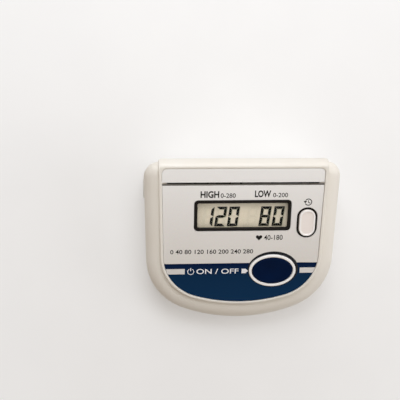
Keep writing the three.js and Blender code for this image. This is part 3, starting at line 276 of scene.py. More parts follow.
print("noise scale for grains of 0.45 mm:", round(1 / (0.45 * MM)))

# %% [markdown]
# ## Finishes
#
# The case is ivory ABS from a spark-eroded mould, which leaves an even, fine grain and a soft gloss. The
# panel is a satin silver-grey film with tiny metallic flakes. The control strip is printed on the back of
# a clear film, so its dark blue looks deep and glossy. The grain on the real case is about 0.1 mm; it is
# drawn at 0.45 mm here, and the film's flakes at 0.5 mm, because finer ones would not show.

# %% Plastics and rubber
def grained_plastic(name, light, dark, roughness, grain_mm, depth_mm, patch_mm=14, **sockets):
    """Moulded plastic: two near colours in soft patches, and a fine grain that breaks the gloss."""
    material, shader = new_material(name, Roughness=roughness, IOR=1.53, **sockets)
    point = object_point(material)
    colour = ramp(material, noise(material, point, patch_mm), [(0.35, dark), (0.65, light)])
    wire(material, colour, shader, "Base Color")
    grain = noise(material, point, grain_mm, detail=3)
    gloss = map_range(material, grain, To_Min=roughness - 0.06, To_Max=roughness + 0.06)
    wire(material, gloss, shader, "Roughness")
    bump(material, shader, grain, depth_mm, 0.35)
    return material


ivory_abs = grained_plastic("ivory_moulded_abs", "EEEBE4", "ECE8E0", 0.42, 0.45, 0.02, patch_mm=30)
ivory_key_abs = grained_plastic("ivory_gloss_key_abs", "F7F0EC", "F4ECE8", 0.3, 0.6, 0.008)
ring_abs = grained_plastic(
    "ivory_gloss_ring_abs", "FCFBFA", "FAF9F8", 0.3, 0.6, 0.008, Specular_IOR_Level=0.9,
)
# Whiter, glossier plastic for a painted highlight along the memory key's rounded edge.
highlight_rim_abs = grained_plastic(
    "painted_highlight_ring_abs", "FDFCFB", "FCFAF9", 0.3, 0.6, 0.004, Specular_IOR_Level=0.9,
)
navy_key_abs = grained_plastic(
    "navy_moulded_key_abs", "001537", "001130", 0.34, 0.5, 0.01, Specular_IOR_Level=0.04,
)
black_abs = grained_plastic(
    "black_satin_abs", "120C07", "0E0905", 0.34, 0.5, 0.01, Specular_IOR_Level=0.11,
)
white_abs = grained_plastic("white_moulded_abs", "E6E5E0", "DDDCD6", 0.5, 0.5, 0.02)
grey_abs = grained_plastic("grey_moulded_abs", "9D9D98", "93938E", 0.5, 0.5, 0.02)
rubber = grained_plastic("black_moulded_rubber", "2E2E30", "252527", 0.8, 0.7, 0.05)
print("materials so far:", len(bpy.data.materials))


# %% Films and metals
FLAKE_SIZE = 0.5  # millimetres


def depth_ramp(material, point, low_mm, high_mm, stops):
    """A colour that changes with the place from front to back."""
    place = add_node(material, "ShaderNodeSeparateXYZ", inputs={"Vector": point}).outputs["Y"]
    return ramp(material, map_range(material, place, From_Min=low_mm * MM, From_Max=high_mm * MM), stops)


def silver_film():
    """Satin film with flakes, its colour painted near white at the back and warm grey at the front as
    painted light and shade.
    """
    material, shader = new_material("silver_film_with_painted_shade", Roughness=0.4, IOR=1.5, Metallic=0.05)
    point = object_point(material)
    # Painted light and shade: lighter at the back, towards the main lamp, and darker towards the front.
    stops = [(0.0, "DEDBD6"), (0.55, "E9E7E5"), (1.0, "F2F2F1")]
    tone = depth_ramp(material, point, -20, FACE_TOP_Y, stops)
    inputs = {"Vector": point, "Scale": 1 / (FLAKE_SIZE * MM)}
    flakes = add_node(material, "ShaderNodeTexVoronoi", inputs=inputs)
    overlay = {"data_type": "RGBA", "blend_type": "OVERLAY"}
    inputs = {0: 0.06, 6: tone, 7: flakes.outputs["Color"]}
    sparkle = add_node(material, "ShaderNodeMix", overlay, inputs)
    wire(material, sparkle.outputs[2], shader, "Base Color")
    bump(material, shader, flakes.outputs["Distance"], 0.01, 0.2)
    return material


def navy_film():
    """Back-printed film: deeper blue at the top edge, and a faint long wave that moves the highlight."""
    material, shader = new_material("navy_printed_film", Roughness=0.25, IOR=1.5, Specular_IOR_Level=0.05)
    point = object_point(material)
    tone = depth_ramp(material, point, -40, -15, [(0.0, "0B3053"), (0.6, "082C4D"), (1.0, "001339")])
    wire(material, tone, shader, "Base Color")
    bump(material, shader, noise(material, point, 6), 0.02, 0.15)
    return material


def metal(name, colour, roughness, brushed_mm):
    """Plated steel: metallic, with short brushing marks that stretch along X."""
    material, shader = new_material(name, Metallic=1.0, Roughness=roughness)
    shader.inputs["Base Color"].default_value = linear(colour)
    inputs = {"Vector": object_point(material), "Scale": (0.1, 1, 1)}
    stretched = add_node(material, "ShaderNodeMapping", inputs=inputs).outputs["Vector"]
    marks = noise(material, stretched, brushed_mm, detail=4)
    gloss = map_range(material, marks, To_Min=roughness - 0.08, To_Max=roughness + 0.12)
    wire(material, gloss, shader, "Roughness")
    bump(material, shader, marks, 0.01, 0.15)
    return material


silver = silver_film()
navy = navy_film()
zinc_steel = metal("zinc_plated_steel", "A9ACB0", 0.35, 0.3)
nickel_steel = metal("nickel_plated_steel", "C9C6BD", 0.25, 0.3)
print("materials so far:", len(bpy.data.materials))

# %% [markdown]
# ## From arrays to meshes
#
# A moulded part is one smooth skin, so its mesh is a grid: rings of points, each joined to the next. The
# whole grid is worked out as arrays, with no loop over points. When the last ring joins the first, the
# skin closes on itself like a tyre, and nothing needs a cap.

# %% Mesh helpers
SMOOTH_ANGLE = 32  # degrees between faces


def smooth(mesh, angle=SMOOTH_ANGLE):
    """Shades a mesh round, but keeps the edges that turn by more than the angle sharp."""
    mesh.shade_smooth()
    mesh.set_sharp_from_angle(angle=math.radians(angle))


def link_mesh(name, points_mm, faces, material):
    """An object from points in millimetres and lists of point numbers."""
    mesh = bpy.data.meshes.new(name)
    mesh.from_pydata((np.asarray(points_mm) * MM).tolist(), [], faces)
    mesh.materials.append(material)
    smooth(mesh)
    mesh.update()
    return into_scene(name, mesh)


def mesh_points(mesh):
    """All points of a mesh as one array, in metres."""
    points = np.empty(3 * len(mesh.vertices))
    mesh.vertices.foreach_get("co", points)
    return points.reshape(-1, 3)


def grid_faces(rows, columns, wrap_rows=False, offset=0):
    """Quads between each ring and the next; each ring closes on itself."""
    r = np.arange(rows if wrap_rows else rows - 1)[:, None]
    c = np.arange(columns)[None, :]
    r2, c2 = (r + 1) % rows, (c + 1) % columns
    quads = np.stack([r * columns + c, r * columns + c2, r2 * columns + c2, r2 * columns + c], axis=-1)
    return (quads.reshape(-1, 4) + offset).tolist()


def face_outwards(obj):
    """Turns a closed skin so that its volume, a sum of a dot (b cross c) over its triangles, is positive."""
    mesh = obj.data
    mesh.calc_loop_triangles()
    corners = np.empty(3 * len(mesh.loop_triangles), np.int32)
    mesh.loop_triangles.foreach_get("vertices", corners)
    a, b, c = mesh_points(mesh)[corners].reshape(-1, 3, 3).swapaxes(0, 1)
    if np.einsum("ij,ij->i", a, np.cross(b, c)).sum() < 0:
        mesh.flip_normals()
    return obj


print("quads between two rings of four points:", len(grid_faces(2, 4)))


# %% Closed skins and the last steps of a piece
def tyre(name, rings, material):
    """A closed skin from rings whose last joins the first."""
    rings = np.asarray(rings)
    faces = grid_faces(len(rings), rings.shape[1], wrap_rows=True)
    return face_outwards(link_mesh(name, rings.reshape(-1, 3), faces, material))


def capped(name, rings, material):
    """A closed skin whose first and last rings end in flat caps."""
    rings = np.asarray(rings)
    count = rings.shape[1]
    last = (len(rings) - 1) * count
    faces = grid_faces(len(rings), count)
    faces.append(list(range(count))[::-1])
    faces.append(list(range(last, last + count)))
    return face_outwards(link_mesh(name, rings.reshape(-1, 3), faces, material))


def repaint(obj, material):
    """Leaves the piece with this one material."""
    obj.data.materials.clear()
    obj.data.materials.append(material)
    return obj


def finish(obj, body, slot, *nodes):
    """Names the body that carries a piece and the model's nodes that it stands for; the slot is not used."""
    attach(obj, body)
    if nodes:
        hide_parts(*nodes)
    return obj


def tell(what, *pieces):
    """Prints how many faces each piece has."""
    print(f"{what}:", *(len(piece.data.polygons) for piece in pieces), "faces")


print("quads round a tyre of eight rings of four points:", len(grid_faces(8, 4, wrap_rows=True)))

# %% Cutting and rounding
BEVEL_ANGLE = 35  # degrees between faces


def worked_out(obj):
    """The mesh that an object shows, with its modifiers or its curve's settings applied."""
    bpy.context.view_layer.update()
    return bpy.data.meshes.new_from_object(obj.evaluated_get(bpy.context.evaluated_depsgraph_get()))


def carve(obj, tool, operation="DIFFERENCE"):
    """Cuts or joins one closed mesh with another, keeps the result and removes the tool."""
    modifier = obj.modifiers.new("carve", "BOOLEAN")
    modifier.object = tool
    modifier.operation = operation
    modifier.solver = "EXACT"
    mesh = worked_out(obj)
    obj.modifiers.clear()
    obj.data = mesh
    bpy.data.objects.remove(tool)
    smooth(mesh)
    return obj


def rounded(obj, width_mm):
    """Rounds the sharp edges of a piece, as every moulded edge is."""
    modifier = obj.modifiers.new("rounded", "BEVEL")
    modifier.width = width_mm * MM
    modifier.segments = 2
    modifier.limit_method = "ANGLE"
    modifier.angle_limit = math.radians(BEVEL_ANGLE)
    return obj


print("edges that turn by more than", BEVEL_ANGLE, "degrees get rounded")


# %% Blocks and turned forms
def box_tool(low, high):
    """A block between two opposite corners."""
    x0, y0, z0 = low
    x1, y1, z1 = high
    ring = np.array([(x0, y0), (x1, y0), (x1, y1), (x0, y1)])
    rings = [np.column_stack([ring, np.full(4, z)]) for z in (z0, z1)]
    return capped("tool", rings, ivory_abs)


AXIS_ORDER = {"x": (2, 0, 1), "z": (0, 1, 2)}  # which of across, across and along becomes x, y and z


def turned(name, profile, axis, centre, material, sides=64, closed=False):
    """Spins pairs of place along the axis and radius round it: x and y are radius times cos and sin."""
    profile = np.asarray(profile, float)
    angle = np.linspace(0, 2 * math.pi, sides, endpoint=False)
    across = profile[:, 1, None] * np.stack([np.cos(angle), np.sin(angle)])[:, None, :]
    along = np.broadcast_to(profile[:, 0, None], across[0].shape)
    rings = np.stack([across[0], across[1], along], axis=-1)[..., AXIS_ORDER[axis]]
    rings = rings + np.asarray(centre, float)
    return (tyre if closed else capped)(name, rings, material)


def round_tool(axis, radius, start, end, centre, sides=64):
    """A plain cylinder between two places along an axis."""
    return turned("tool", [(start, radius), (end, radius)], axis, centre, ivory_abs, sides)


print("pieces are turned about:", *AXIS_ORDER)

# %% [markdown]
# ## The upper case: wings
#
# The lower, outer part of the shell rolls from the flat under the platform over a wide shoulder into the
# upright wall. The section is a quarter of an ellipse, and each ring is the D outline moved inwards by
# what the section asks. The skin goes up the outside and back down the inside, so it is a real shell. At
# the back it is thin, because the platform's wall stands behind it and the exhaust valve before it.

# %% Wings
LIP, LIP_CHAMFER = PARTING + CLEARANCE / 2, 0.35
UNDERLAP = SHOULDER_WIDTH + 3.5
BACK_SKIN = 0.7


def wing_ring(form, inset, drop):
    """The D moved in by the inset, each point a drop below the panel's plane."""
    outline = d_outline(form, inset)
    return np.column_stack([outline, face_plane(outline[:, 1]) - drop])


def wing_rings(form, inset, drop, steps=18):
    """Inset grows by one minus the cosine and height by the sine of an angle from 0 to 90 degrees."""
    rings = []
    for angle in np.linspace(0, math.pi / 2, steps):
        inward = SHOULDER_WIDTH * (1 - math.cos(angle))
        fall = WING_DROP + drop + SHOULDER_HEIGHT * (1 - math.sin(angle))
        rings.append(wing_ring(form, inset + inward, fall))
    return rings


def flat_ring(outline, z):
    """An outline laid level at one height."""
    return np.column_stack([outline, np.full(len(outline), z)])


def make_wings():
    """Outside from the lip up and in under the platform, then inside back down, a wall's thickness in."""
    chamfer = d_outline(WING, LIP_CHAMFER)
    outer = [flat_ring(chamfer, LIP), flat_ring(d_outline(WING), LIP + LIP_CHAMFER)]
    outer += wing_rings(WING, 0, 0)
    outer.append(wing_ring(WING, UNDERLAP, WING_DROP))
    inside = dict(WING, back=WING["back"] + WALL - BACK_SKIN)
    inner = [wing_ring(inside, UNDERLAP, WING_DROP + WALL)]
    inner += wing_rings(inside, WALL, WALL)[::-1]
    inner.append(flat_ring(d_outline(inside, WALL), LIP))
    return tyre("case_wings", outer + inner, ivory_abs)


wings = make_wings()
tell("wings", wings)

# %% [markdown]
# ## The upper case: platform
#
# The raised part in the middle has a rounded rim round the panel. At the back it rolls over in one large
# curve and becomes the back wall. From above its outline is the D again, and its height is a function of
# the depth alone: the sloping plane, and then a Bezier curve that starts along the slope and ends
# straight down.

# %% Height and outline of the platform
ROLL_START = PLATFORM_BACK - ROLL_WIDTH


def platform_top(y):
    """Height at depth y: the plane, and behind it a Bezier curve, a sum of four points with weights."""
    rise = RIM_HEIGHT / math.cos(FACE_TILT)
    start = face_plane(ROLL_START) + rise
    middle = face_plane(ROLL_START + ROLL_WIDTH / 2) + rise
    t = np.linspace(0, 1, 80)
    weights = np.stack([(1 - t) ** 3, 3 * t * (1 - t) ** 2, 3 * t**2 * (1 - t), t**3])
    depth = np.array([ROLL_START, ROLL_START + ROLL_WIDTH / 2, PLATFORM_BACK, PLATFORM_BACK]) @ weights
    height = np.array([start, middle, start - ROLL_HEIGHT / 2, start - ROLL_HEIGHT]) @ weights
    return np.where(y < ROLL_START, face_plane(y) + rise, np.interp(y, depth, height))


def platform_outline(inset=0.0):
    """The D of the face seen from straight above: its way down the slope times the tilt's cosine."""
    outline = d_outline(PLATFORM, inset)
    return np.column_stack([outline[:, 0], FACE_TOP_Y + outline[:, 1] * math.cos(FACE_TILT)])


print("heights of the roll:", platform_top(np.array([ROLL_START, PLATFORM_BACK])).round(1), "mm")

# %% Platform
RIM_EDGE, WELL_EDGE, WELL_GAP = 0.9, 0.45, 0.26
LEDGE, SKIRT = 3, 1.5
SKIRT_START = WING["back"] - 5
ROOF_BELOW, ROOF_LIMIT = 4.2, 52


def rim_steps(width):
    """Pairs of share across the rim and fall: outer quarter circle, flat, inner quarter circle."""
    steps = [
        (RIM_EDGE * (1 - math.cos(angle)) / width, RIM_EDGE * (1 - math.sin(angle)))
        for angle in np.linspace(0.25, math.pi / 2, 7)
    ]
    flat_end = 1 - WELL_EDGE / RIM_WIDTH
    steps += [(share, 0) for share in np.linspace(RIM_EDGE / RIM_WIDTH, flat_end, 10)[1:]]
    steps += [
        (1 - WELL_EDGE * (1 - math.sin(angle)) / RIM_WIDTH, WELL_EDGE * (1 - math.cos(angle)))
        for angle in np.linspace(0, math.pi / 2, 6)[1:]
    ]
    return steps


def make_platform():
    """Outside up from the skirt, over the rim, down the panel's well to its ledge, and back inside."""
    outer = platform_outline()
    well = d_outline(PANEL, -WELL_GAP)
    inner = face_ring(well, RIM_HEIGHT)[:, :2]
    skirt = face_plane(outer[:, 1]) - WING_DROP - SKIRT
    foot = np.where(outer[:, 1] > SKIRT_START, LIP, skirt)
    rings = [np.column_stack([outer, height]) for height in (foot, platform_top(outer[:, 1]) - RIM_EDGE)]
    for share, fall in rim_steps(np.linalg.norm(outer - inner, axis=1)):
        share = np.reshape(share, (-1, 1))
        place = outer * (1 - share) + inner * share
        rings.append(np.column_stack([place, platform_top(place[:, 1]) - fall]))
    seat = -PANEL_THICKNESS - CLEARANCE
    ledge = d_outline(PANEL, LEDGE)
    rings += [face_ring(well, seat), face_ring(ledge, seat), face_ring(ledge, seat - WALL)]
    within = platform_outline(WALL)
    roof = np.minimum(platform_top(within[:, 1]) - ROOF_BELOW, ROOF_LIMIT)
    rings += [np.column_stack([within, height]) for height in (roof, foot)]
    return tyre("case_platform", rings, ivory_abs)


platform = make_platform()
tell("platform", platform)

# %% Holes for the air socket and the power jack
AIR_Y, AIR_Z, JACK_Y, SIDE_FACE = 36, 20, 40, 66.6
SOCKET_FLANGE, SOCKET_BORE, SOCKET_RADIUS = 6.8, 3.5, 5.5
JACK_COLLAR, JACK_BORE, JACK_PIN = 4.2, 2.9, 0.9
FLANGE_SEAT, WITHIN = 64.8, 60  # how far in the flange's recess and the holes reach

HOLES = [
    (SOCKET_FLANGE, -BEYOND, -FLANGE_SEAT, AIR_Y),
    (SOCKET_RADIUS, -BEYOND, -WITHIN, AIR_Y),
    (JACK_COLLAR, WITHIN, BEYOND, JACK_Y),
]
for radius, start, end, y in HOLES:
    carve(wings, round_tool("x", radius + CLEARANCE, start, end, (0, y, AIR_Z)))
finish(wings, "root", "ivory_abs", "upper_case")
finish(platform, "root", "ivory_abs", "upper_case")
tell("wings with holes", wings)

# %% [markdown]
# ## Flat plates with openings
#
# The panel, the control strip and the printed marks are flat shapes with holes. Blender's 2D curves fill
# an outer outline and leave its inner ones open, and a small bevel rounds the edges. Each outline is an
# array from a formula; the curve is turned into a mesh and then laid on the slope.

# %% Ovals and rounded boxes
def oval(centre, width, height, count=128):
    """Centre plus half the width times the cosine and half the height times the sine."""
    angle = np.linspace(0, 2 * math.pi, count, endpoint=False)
    return np.column_stack([
        centre[0] + width / 2 * np.cos(angle), -centre[1] + height / 2 * np.sin(angle),
    ])


def rounded_box(centre, width, height, radius, count=10):
    """Four quarter circles, one round each corner's centre."""
    x, y = width / 2 - radius, height / 2 - radius
    quarters = [(x, y), (-x, y), (-x, -y), (x, -y)]
    arcs = [
        arc(corner, radius, i * math.pi / 2, (i + 1) * math.pi / 2, count)
        for i, corner in enumerate(quarters)
    ]
    return np.vstack(arcs) + (centre[0], -centre[1])


def grown(size, margin):
    """A width and a height with the same margin added on all sides."""
    return size[0] + 2 * margin, size[1] + 2 * margin


print("points on an oval and a rounded box:", len(oval((0, 0), 2, 1)), len(rounded_box((0, 0), 2, 2, 1)))

# %% Plate helper
PLATE_ANGLE = 40  # degrees between faces


def lay_on_face(obj):
    """Turns a flat mesh by the tilt and shifts it to the top of the panel."""
    turn = Matrix.Rotation(FACE_TILT, 4, "X")
    obj.data.transform(Matrix.Translation((0, FACE_TOP_Y * MM, FACE_TOP_Z * MM)) @ turn)
    obj.data.update()
    return obj


def curve_to_mesh(name, curve, material):
    """The piece that a flat curve or a text draws, as a mesh that can be laid on the slope."""
    drawn = into_scene(name, curve)
    mesh = worked_out(drawn)
    bpy.data.objects.remove(drawn)
    mesh.name = name
    return repaint(into_scene(name, mesh), material)


def plate(name, outlines, bottom, top, material, edge=0.0):
    """A flat plate between two heights over the panel's plane; the first outline is the outer one."""
    curve = bpy.data.curves.new(name, "CURVE")
    curve.dimensions = "2D"
    curve.fill_mode = "BOTH"
    curve.extrude = (top - bottom - 2 * edge) / 2 * MM
    curve.bevel_depth = edge * MM
    curve.bevel_resolution = 2
    curve.offset = -edge * MM
    for outline in outlines:
        spline = curve.splines.new("POLY")
        spline.points.add(len(outline) - 1)
        points = np.column_stack([outline * MM, np.zeros(len(outline)), np.ones(len(outline))])
        spline.points.foreach_set("co", points.ravel())
        spline.use_cyclic_u = True
    obj = curve_to_mesh(name, curve, material)
    obj.data.transform(Matrix.Translation((0, 0, (top + bottom) / 2 * MM)))
    smooth(obj.data, PLATE_ANGLE)
    return lay_on_face(obj)


print("plates are tilted by", round(math.degrees(FACE_TILT)), "degrees")

# %% [markdown]
# ## Silver panel, dividing line and control strip
#
# The silver film covers the upper part of the face and the dark blue strip the lower part. The strip
# rises in a dark crescent round the start key, so the border between them is a level line broken by an
# oval. The crescent's black is a printed outline round the key's ring, drawn thicker at the top and right
# as painted shadow in the ring's recess. Each plate is a closed list of points: the border and the sides
# of the D. Screen-printed ink stands about 0.03 mm proud of a film.

# %% Places and borders
START_PLACE, START_SIZE = (21.8, 73.5), (28, 19.3)
MEMORY_PLACE, MEMORY_SIZE = (43.8, 38.35), (10.95, 18.9)
DISPLAY_PLACE, BEZEL_SIZE, BEZEL_BAR, BEZEL_RADIUS = (0, 32.94), (64.9, 21.5), 2, 2.4
RING_BAR, SURROUND_BAR = 1.95, 0.95
# The crescent's oval sits right of and above the ring's, so its black is thicker there: painted shadow over
# a printed outline.
CRESCENT_PLACE, CRESCENT_SIZE = (22.25, 72.7), (35.0, 26.6)
LINE_PLACE, LINE_WIDTH, LINE_DEPTH, LINE_BOTTOM, LINE_OVERLAP = 11.25, 0.8, 0.4, -0.95, 0.2
PLATE_EDGE, INK_TOP, INK_BOTTOM = 0.12, 0.03, -0.02


def half_width(v):
    """Half the panel's width at height v, read off its outline."""
    outline = d_outline(PANEL)
    right = outline[outline[:, 0] >= 0]
    right = right[np.argsort(right[:, 1])]
    return np.interp(v, right[:, 1], right[:, 0])


def band(top, bottom, count=120, power=1):
    """The panel's right side going down and its left side going up, between two places.

    A power over one gathers the points near the top.
    """
    v = line((0, -top), (0, -bottom), count - 2, power)[:, 1]
    v = np.concatenate([[-top], v, [-bottom]])
    right = np.column_stack([half_width(v), v])
    return right, (right * (-1, 1))[::-1]


def border():
    """The upper arc of the crescent's oval, from right to left; level lines join its ends to the sides."""
    angle = np.linspace(0, math.pi, 240)
    oval_points = np.column_stack([
        CRESCENT_PLACE[0] + CRESCENT_SIZE[0] / 2 * np.cos(angle),
        -CRESCENT_PLACE[1] + CRESCENT_SIZE[1] / 2 * np.sin(angle),
    ])
    return oval_points[oval_points[:, 1] > -CONTROL_TOP]


print("half the panel's width at the dividing line:", round(float(half_width(-LINE_PLACE)), 2))

# %% Silver panel
line_ink = grained_plastic("grey_printed_line", "5F5A53", "57524B", 0.5, 0.5, 0.01)
LINE_TOP_EDGE, LINE_LOW_EDGE = LINE_PLACE - LINE_WIDTH / 2, LINE_PLACE + LINE_WIDTH / 2


def make_silver_panel():
    """Two plates on either side of the dividing line, and the line's floor a little below them."""
    back = d_outline(PANEL)
    back = back[back[:, 1] > -LINE_TOP_EDGE]
    split = int(np.argmax(np.diff(back[:, 0]))) + 1  # where the list leaps from one side to the other
    upper = np.roll(back, -split, axis=0)
    right, left = band(LINE_LOW_EDGE, CONTROL_TOP)
    lower = np.vstack([right, border(), left])
    margin = SURROUND_BAR + 2 * CLEARANCE
    bezel_hole = rounded_box(DISPLAY_PLACE, *grown(BEZEL_SIZE, CLEARANCE), BEZEL_RADIUS + CLEARANCE)
    memory_hole = rounded_box(MEMORY_PLACE, *grown(MEMORY_SIZE, margin), MEMORY_SIZE[0] / 2 + margin - 0.01)
    right, left = band(LINE_TOP_EDGE - LINE_OVERLAP, LINE_LOW_EDGE + LINE_OVERLAP, 3)
    pieces = [
        plate("silver_film_upper", [upper], -PANEL_THICKNESS, 0, silver, PLATE_EDGE),
        plate(
            "silver_film_lower", [lower, bezel_hole, memory_hole], -PANEL_THICKNESS, 0, silver, PLATE_EDGE,
        ),
        plate("dividing_line", [np.vstack([right, left])], LINE_BOTTOM, -LINE_DEPTH, line_ink),
    ]
    for piece in pieces:
        finish(piece, "root", "silver_panel", "face_panel")
    return pieces


tell("silver films and line", *make_silver_panel())

# %% Control strip
# Black for the crescent: a printed outline, widened at the top and right as painted shadow.
crescent_ink_and_shadow = grained_plastic(
    "black_ink_and_painted_shadow", "0A0B12", "07080E", 0.4, 0.5, 0.004, Specular_IOR_Level=0.2,
)
PANEL_FRONT = -PANEL["front"] - 0.001  # a hair short of the front, where the two sides meet


def make_control_strip():
    """The D below the border with a hole for the start key's ring, and the crescent's black on it: print and
    painted shadow.
    """
    right, left = band(CONTROL_TOP, PANEL_FRONT, 200, power=2)
    navy_outline = np.vstack([right, left[1:], border()[::-1]])
    ring_hole = oval(START_PLACE, *grown(START_SIZE, RING_BAR + 2 * CLEARANCE))
    strip = plate("navy_film", [navy_outline, ring_hole], -PANEL_THICKNESS, 0, navy, PLATE_EDGE)
    finish(strip, "root", "navy_panel", "control_panel")
    crescent_outlines = [oval(CRESCENT_PLACE, *CRESCENT_SIZE, 160), ring_hole]
    crescent = plate("crescent_ink_and_shadow", crescent_outlines, INK_BOTTOM, INK_TOP, crescent_ink_and_shadow)
    finish(crescent, "root", "navy_panel")
    return strip


tell("control strip", make_control_strip())

# %% [markdown]
# ## Display
#
# A reflective liquid crystal display is a sandwich: a black bezel, a clear acrylic pane, and below it
# glass over a tan reflector. The lit segments are dark, and since the reflector lies a little deeper they
# throw a faint copy of themselves on it. The unlit ones can just be seen.

# %% Display finishes
def clear_acrylic():
    """Clear sheet with an anti-glare coat, given as a low index of refraction; lamps shine through it."""
    material, shader = new_material("coated_clear_acrylic", Roughness=0.03, IOR=1.15)
    shader.inputs["Transmission Weight"].default_value = 1.0
    shader.inputs["Base Color"].default_value = linear("F6F8F6")
    path = add_node(material, "ShaderNodeLightPath").outputs["Is Shadow Ray"]
    open_way = add_node(material, "ShaderNodeBsdfTransparent", inputs={"Color": linear("F4F6F4")})
    show_mix(material, path, shader.outputs["BSDF"], open_way.outputs["BSDF"])
    return material


clear_pane = clear_acrylic()
lcd_reflector = grained_plastic("lcd_tan_reflector", "BDAD9A", "B9A996", 0.45, 0.35, 0.004, patch_mm=20)
lcd_segment = grained_plastic(
    "lcd_dark_segment", "0E0B08", "0B0906", 0.4, 0.5, 0.002, Specular_IOR_Level=0.08,
)
lcd_ghost = grained_plastic("lcd_unlit_segment", "B6A795", "B3A492", 0.45, 0.5, 0.002)
lcd_shadow = grained_plastic("lcd_segment_shadow", "A0957F", "9C917B", 0.45, 0.5, 0.002)
print("materials so far:", len(bpy.data.materials))


# %% Bezel and pane
def rounded_rings(place, size, radius, steps):
    """One rounded rectangle per step of inset, height and change of radius."""
    rings = []
    for inset, height, less in steps:
        ring = rounded_box(place, *grown(size, -inset), max(radius - less, 0.1))
        rings.append(face_ring(ring, height))
    return rings


def make_bezel():
    """Up the outside, over the rounded bar and down the inside."""
    steps = [
        (0, -PANEL_THICKNESS, 0), (0, 0.08, 0), (0.05, 0.2, 0.05), (0.16, 0.28, 0.15), (0.3, 0.3, 0.25),
        (1.5, 0.3, 1.0), (1.72, 0.22, 1.1), (1.88, 0.02, 1.2), (BEZEL_BAR, -0.3, 1.4),
        (BEZEL_BAR, -PANEL_THICKNESS, 1.4),
    ]
    bezel = tyre("bezel_frame", rounded_rings(DISPLAY_PLACE, BEZEL_SIZE, BEZEL_RADIUS, steps), black_abs)
    finish(bezel, "root", "black_abs", "display_bezel")
    return bezel


OPENING = grown(BEZEL_SIZE, -BEZEL_BAR)
PANE_TOP, PANE_BOTTOM, PANE_MARGIN, PANE_EDGE, GLASS_TOP = -1.3, -2.2, 1, 0.1, -4.0
MASK_TOP, MASK_BOTTOM, MASK_MARGIN = PANE_BOTTOM - 0.15, GLASS_TOP + 0.1, 2.3
MASK_OPENING, MASK_PLACE = (OPENING[0] + 0.6, OPENING[1] + 1), (0.3, DISPLAY_PLACE[1] + 0.5)


def make_window():
    """The pane, and a black mask round the glass that is open a little farther than the bezel."""
    pane = rounded_box(DISPLAY_PLACE, *grown(OPENING, PANE_MARGIN), 1)
    window = plate("window_pane", [pane], PANE_BOTTOM, PANE_TOP, clear_pane, PANE_EDGE)
    finish(window, "root", "clear_pane", "display_window")
    outer = rounded_box(DISPLAY_PLACE, *grown(OPENING, MASK_MARGIN), 1)
    inner = rounded_box(MASK_PLACE, *MASK_OPENING, 1)
    mask = plate("window_mask", [outer, inner], MASK_BOTTOM, MASK_TOP, black_abs)
    finish(mask, "root", "black_abs")
    return window, mask


tell("bezel", make_bezel())
tell("pane and mask", *make_window())

# %% [markdown]
# ## Numerals of the display
#
# A numeral is seven bars. The top bar, one side bar and the middle bar are drawn; the other four are
# their mirror images. The slant is a shear: u grows with the height. The shadows are the lit bars once
# more, a little to the right and lower.

# %% Shapes of the bars
DIGIT_HEIGHT, DIGIT_WIDTH, BAR_WIDTH, SLANT = 14.3, 7.2, 2.1, math.tan(math.radians(6.5))
DIGIT_BOTTOM, BAR_GAP = 42.0, 0.1
LIT = {"0": "abcdef", "1": "bc", "2": "abged", "8": "abcdefg"}
MIRRORED = {"b": ("f", -1, 1), "c": ("f", -1, -1), "d": ("a", 1, -1), "e": ("f", 1, -1)}


def bar_shapes():
    """Corners are cut at 45 degrees; every point then moves in by the gap, towards the bar's middle."""
    side, top, half_bar = DIGIT_WIDTH / 2, DIGIT_HEIGHT / 2, BAR_WIDTH / 2
    inner, low = side - BAR_WIDTH, top - BAR_WIDTH
    drawn = {
        "a": [(-side, top), (-inner, low), (inner, low), (side, top)],
        "f": [(-side, top), (-side, 0), (-inner, half_bar), (-inner, low)],
        "g": [
            (-side, 0), (-inner, -half_bar), (inner, -half_bar),
            (side, 0), (inner, half_bar), (-inner, half_bar),
        ],
    }
    shapes = {}
    for name, points in drawn.items():
        points = np.array(points)
        shapes[name] = points - BAR_GAP * np.sign(points - points.mean(axis=0))
    for name, (source, flip_u, flip_v) in MIRRORED.items():
        shapes[name] = shapes[source] * (flip_u, flip_v)
    return shapes


def segment(left, shape):
    """A bar put in its numeral's place: moved up from the bottom line and sheared."""
    points = shape + (DIGIT_WIDTH / 2, DIGIT_HEIGHT / 2)
    points[:, 0] += left + points[:, 1] * SLANT
    points[:, 1] -= DIGIT_BOTTOM
    return points


print("bars:", sorted(bar_shapes()))

# %% Numerals
INK_SINK = 0.01
DIGITS = [(-27.4, "1"), (-18.9, "2"), (-10.3, "0"), (2.5, ""), (11.2, "8"), (20.2, "0")]
SHADOW_SHIFT = (0.45, -0.5)
GLASS_SIZE, GLASS_RADIUS, GLASS_BOTTOM, GLASS_EDGE = (65, 23.5), 0.4, GLASS_TOP - 2.2, 0.1


def flat_marks(name, outlines, thickness, material):
    """Thin shapes on the glass: each convex outline is carried from the bottom to the top of its layer."""
    points, faces = [], []
    for outline in outlines:
        count, base = len(outline), sum(len(ring) for ring in points)
        points += [face_ring(outline, GLASS_TOP - INK_SINK), face_ring(outline, GLASS_TOP + thickness)]
        faces += grid_faces(2, count, offset=base)
        faces.append(list(range(base, base + count))[::-1])
        faces.append(list(range(base + count, base + 2 * count)))
    finish(face_outwards(link_mesh(name, np.vstack(points), faces, material)), "root", "lcd")


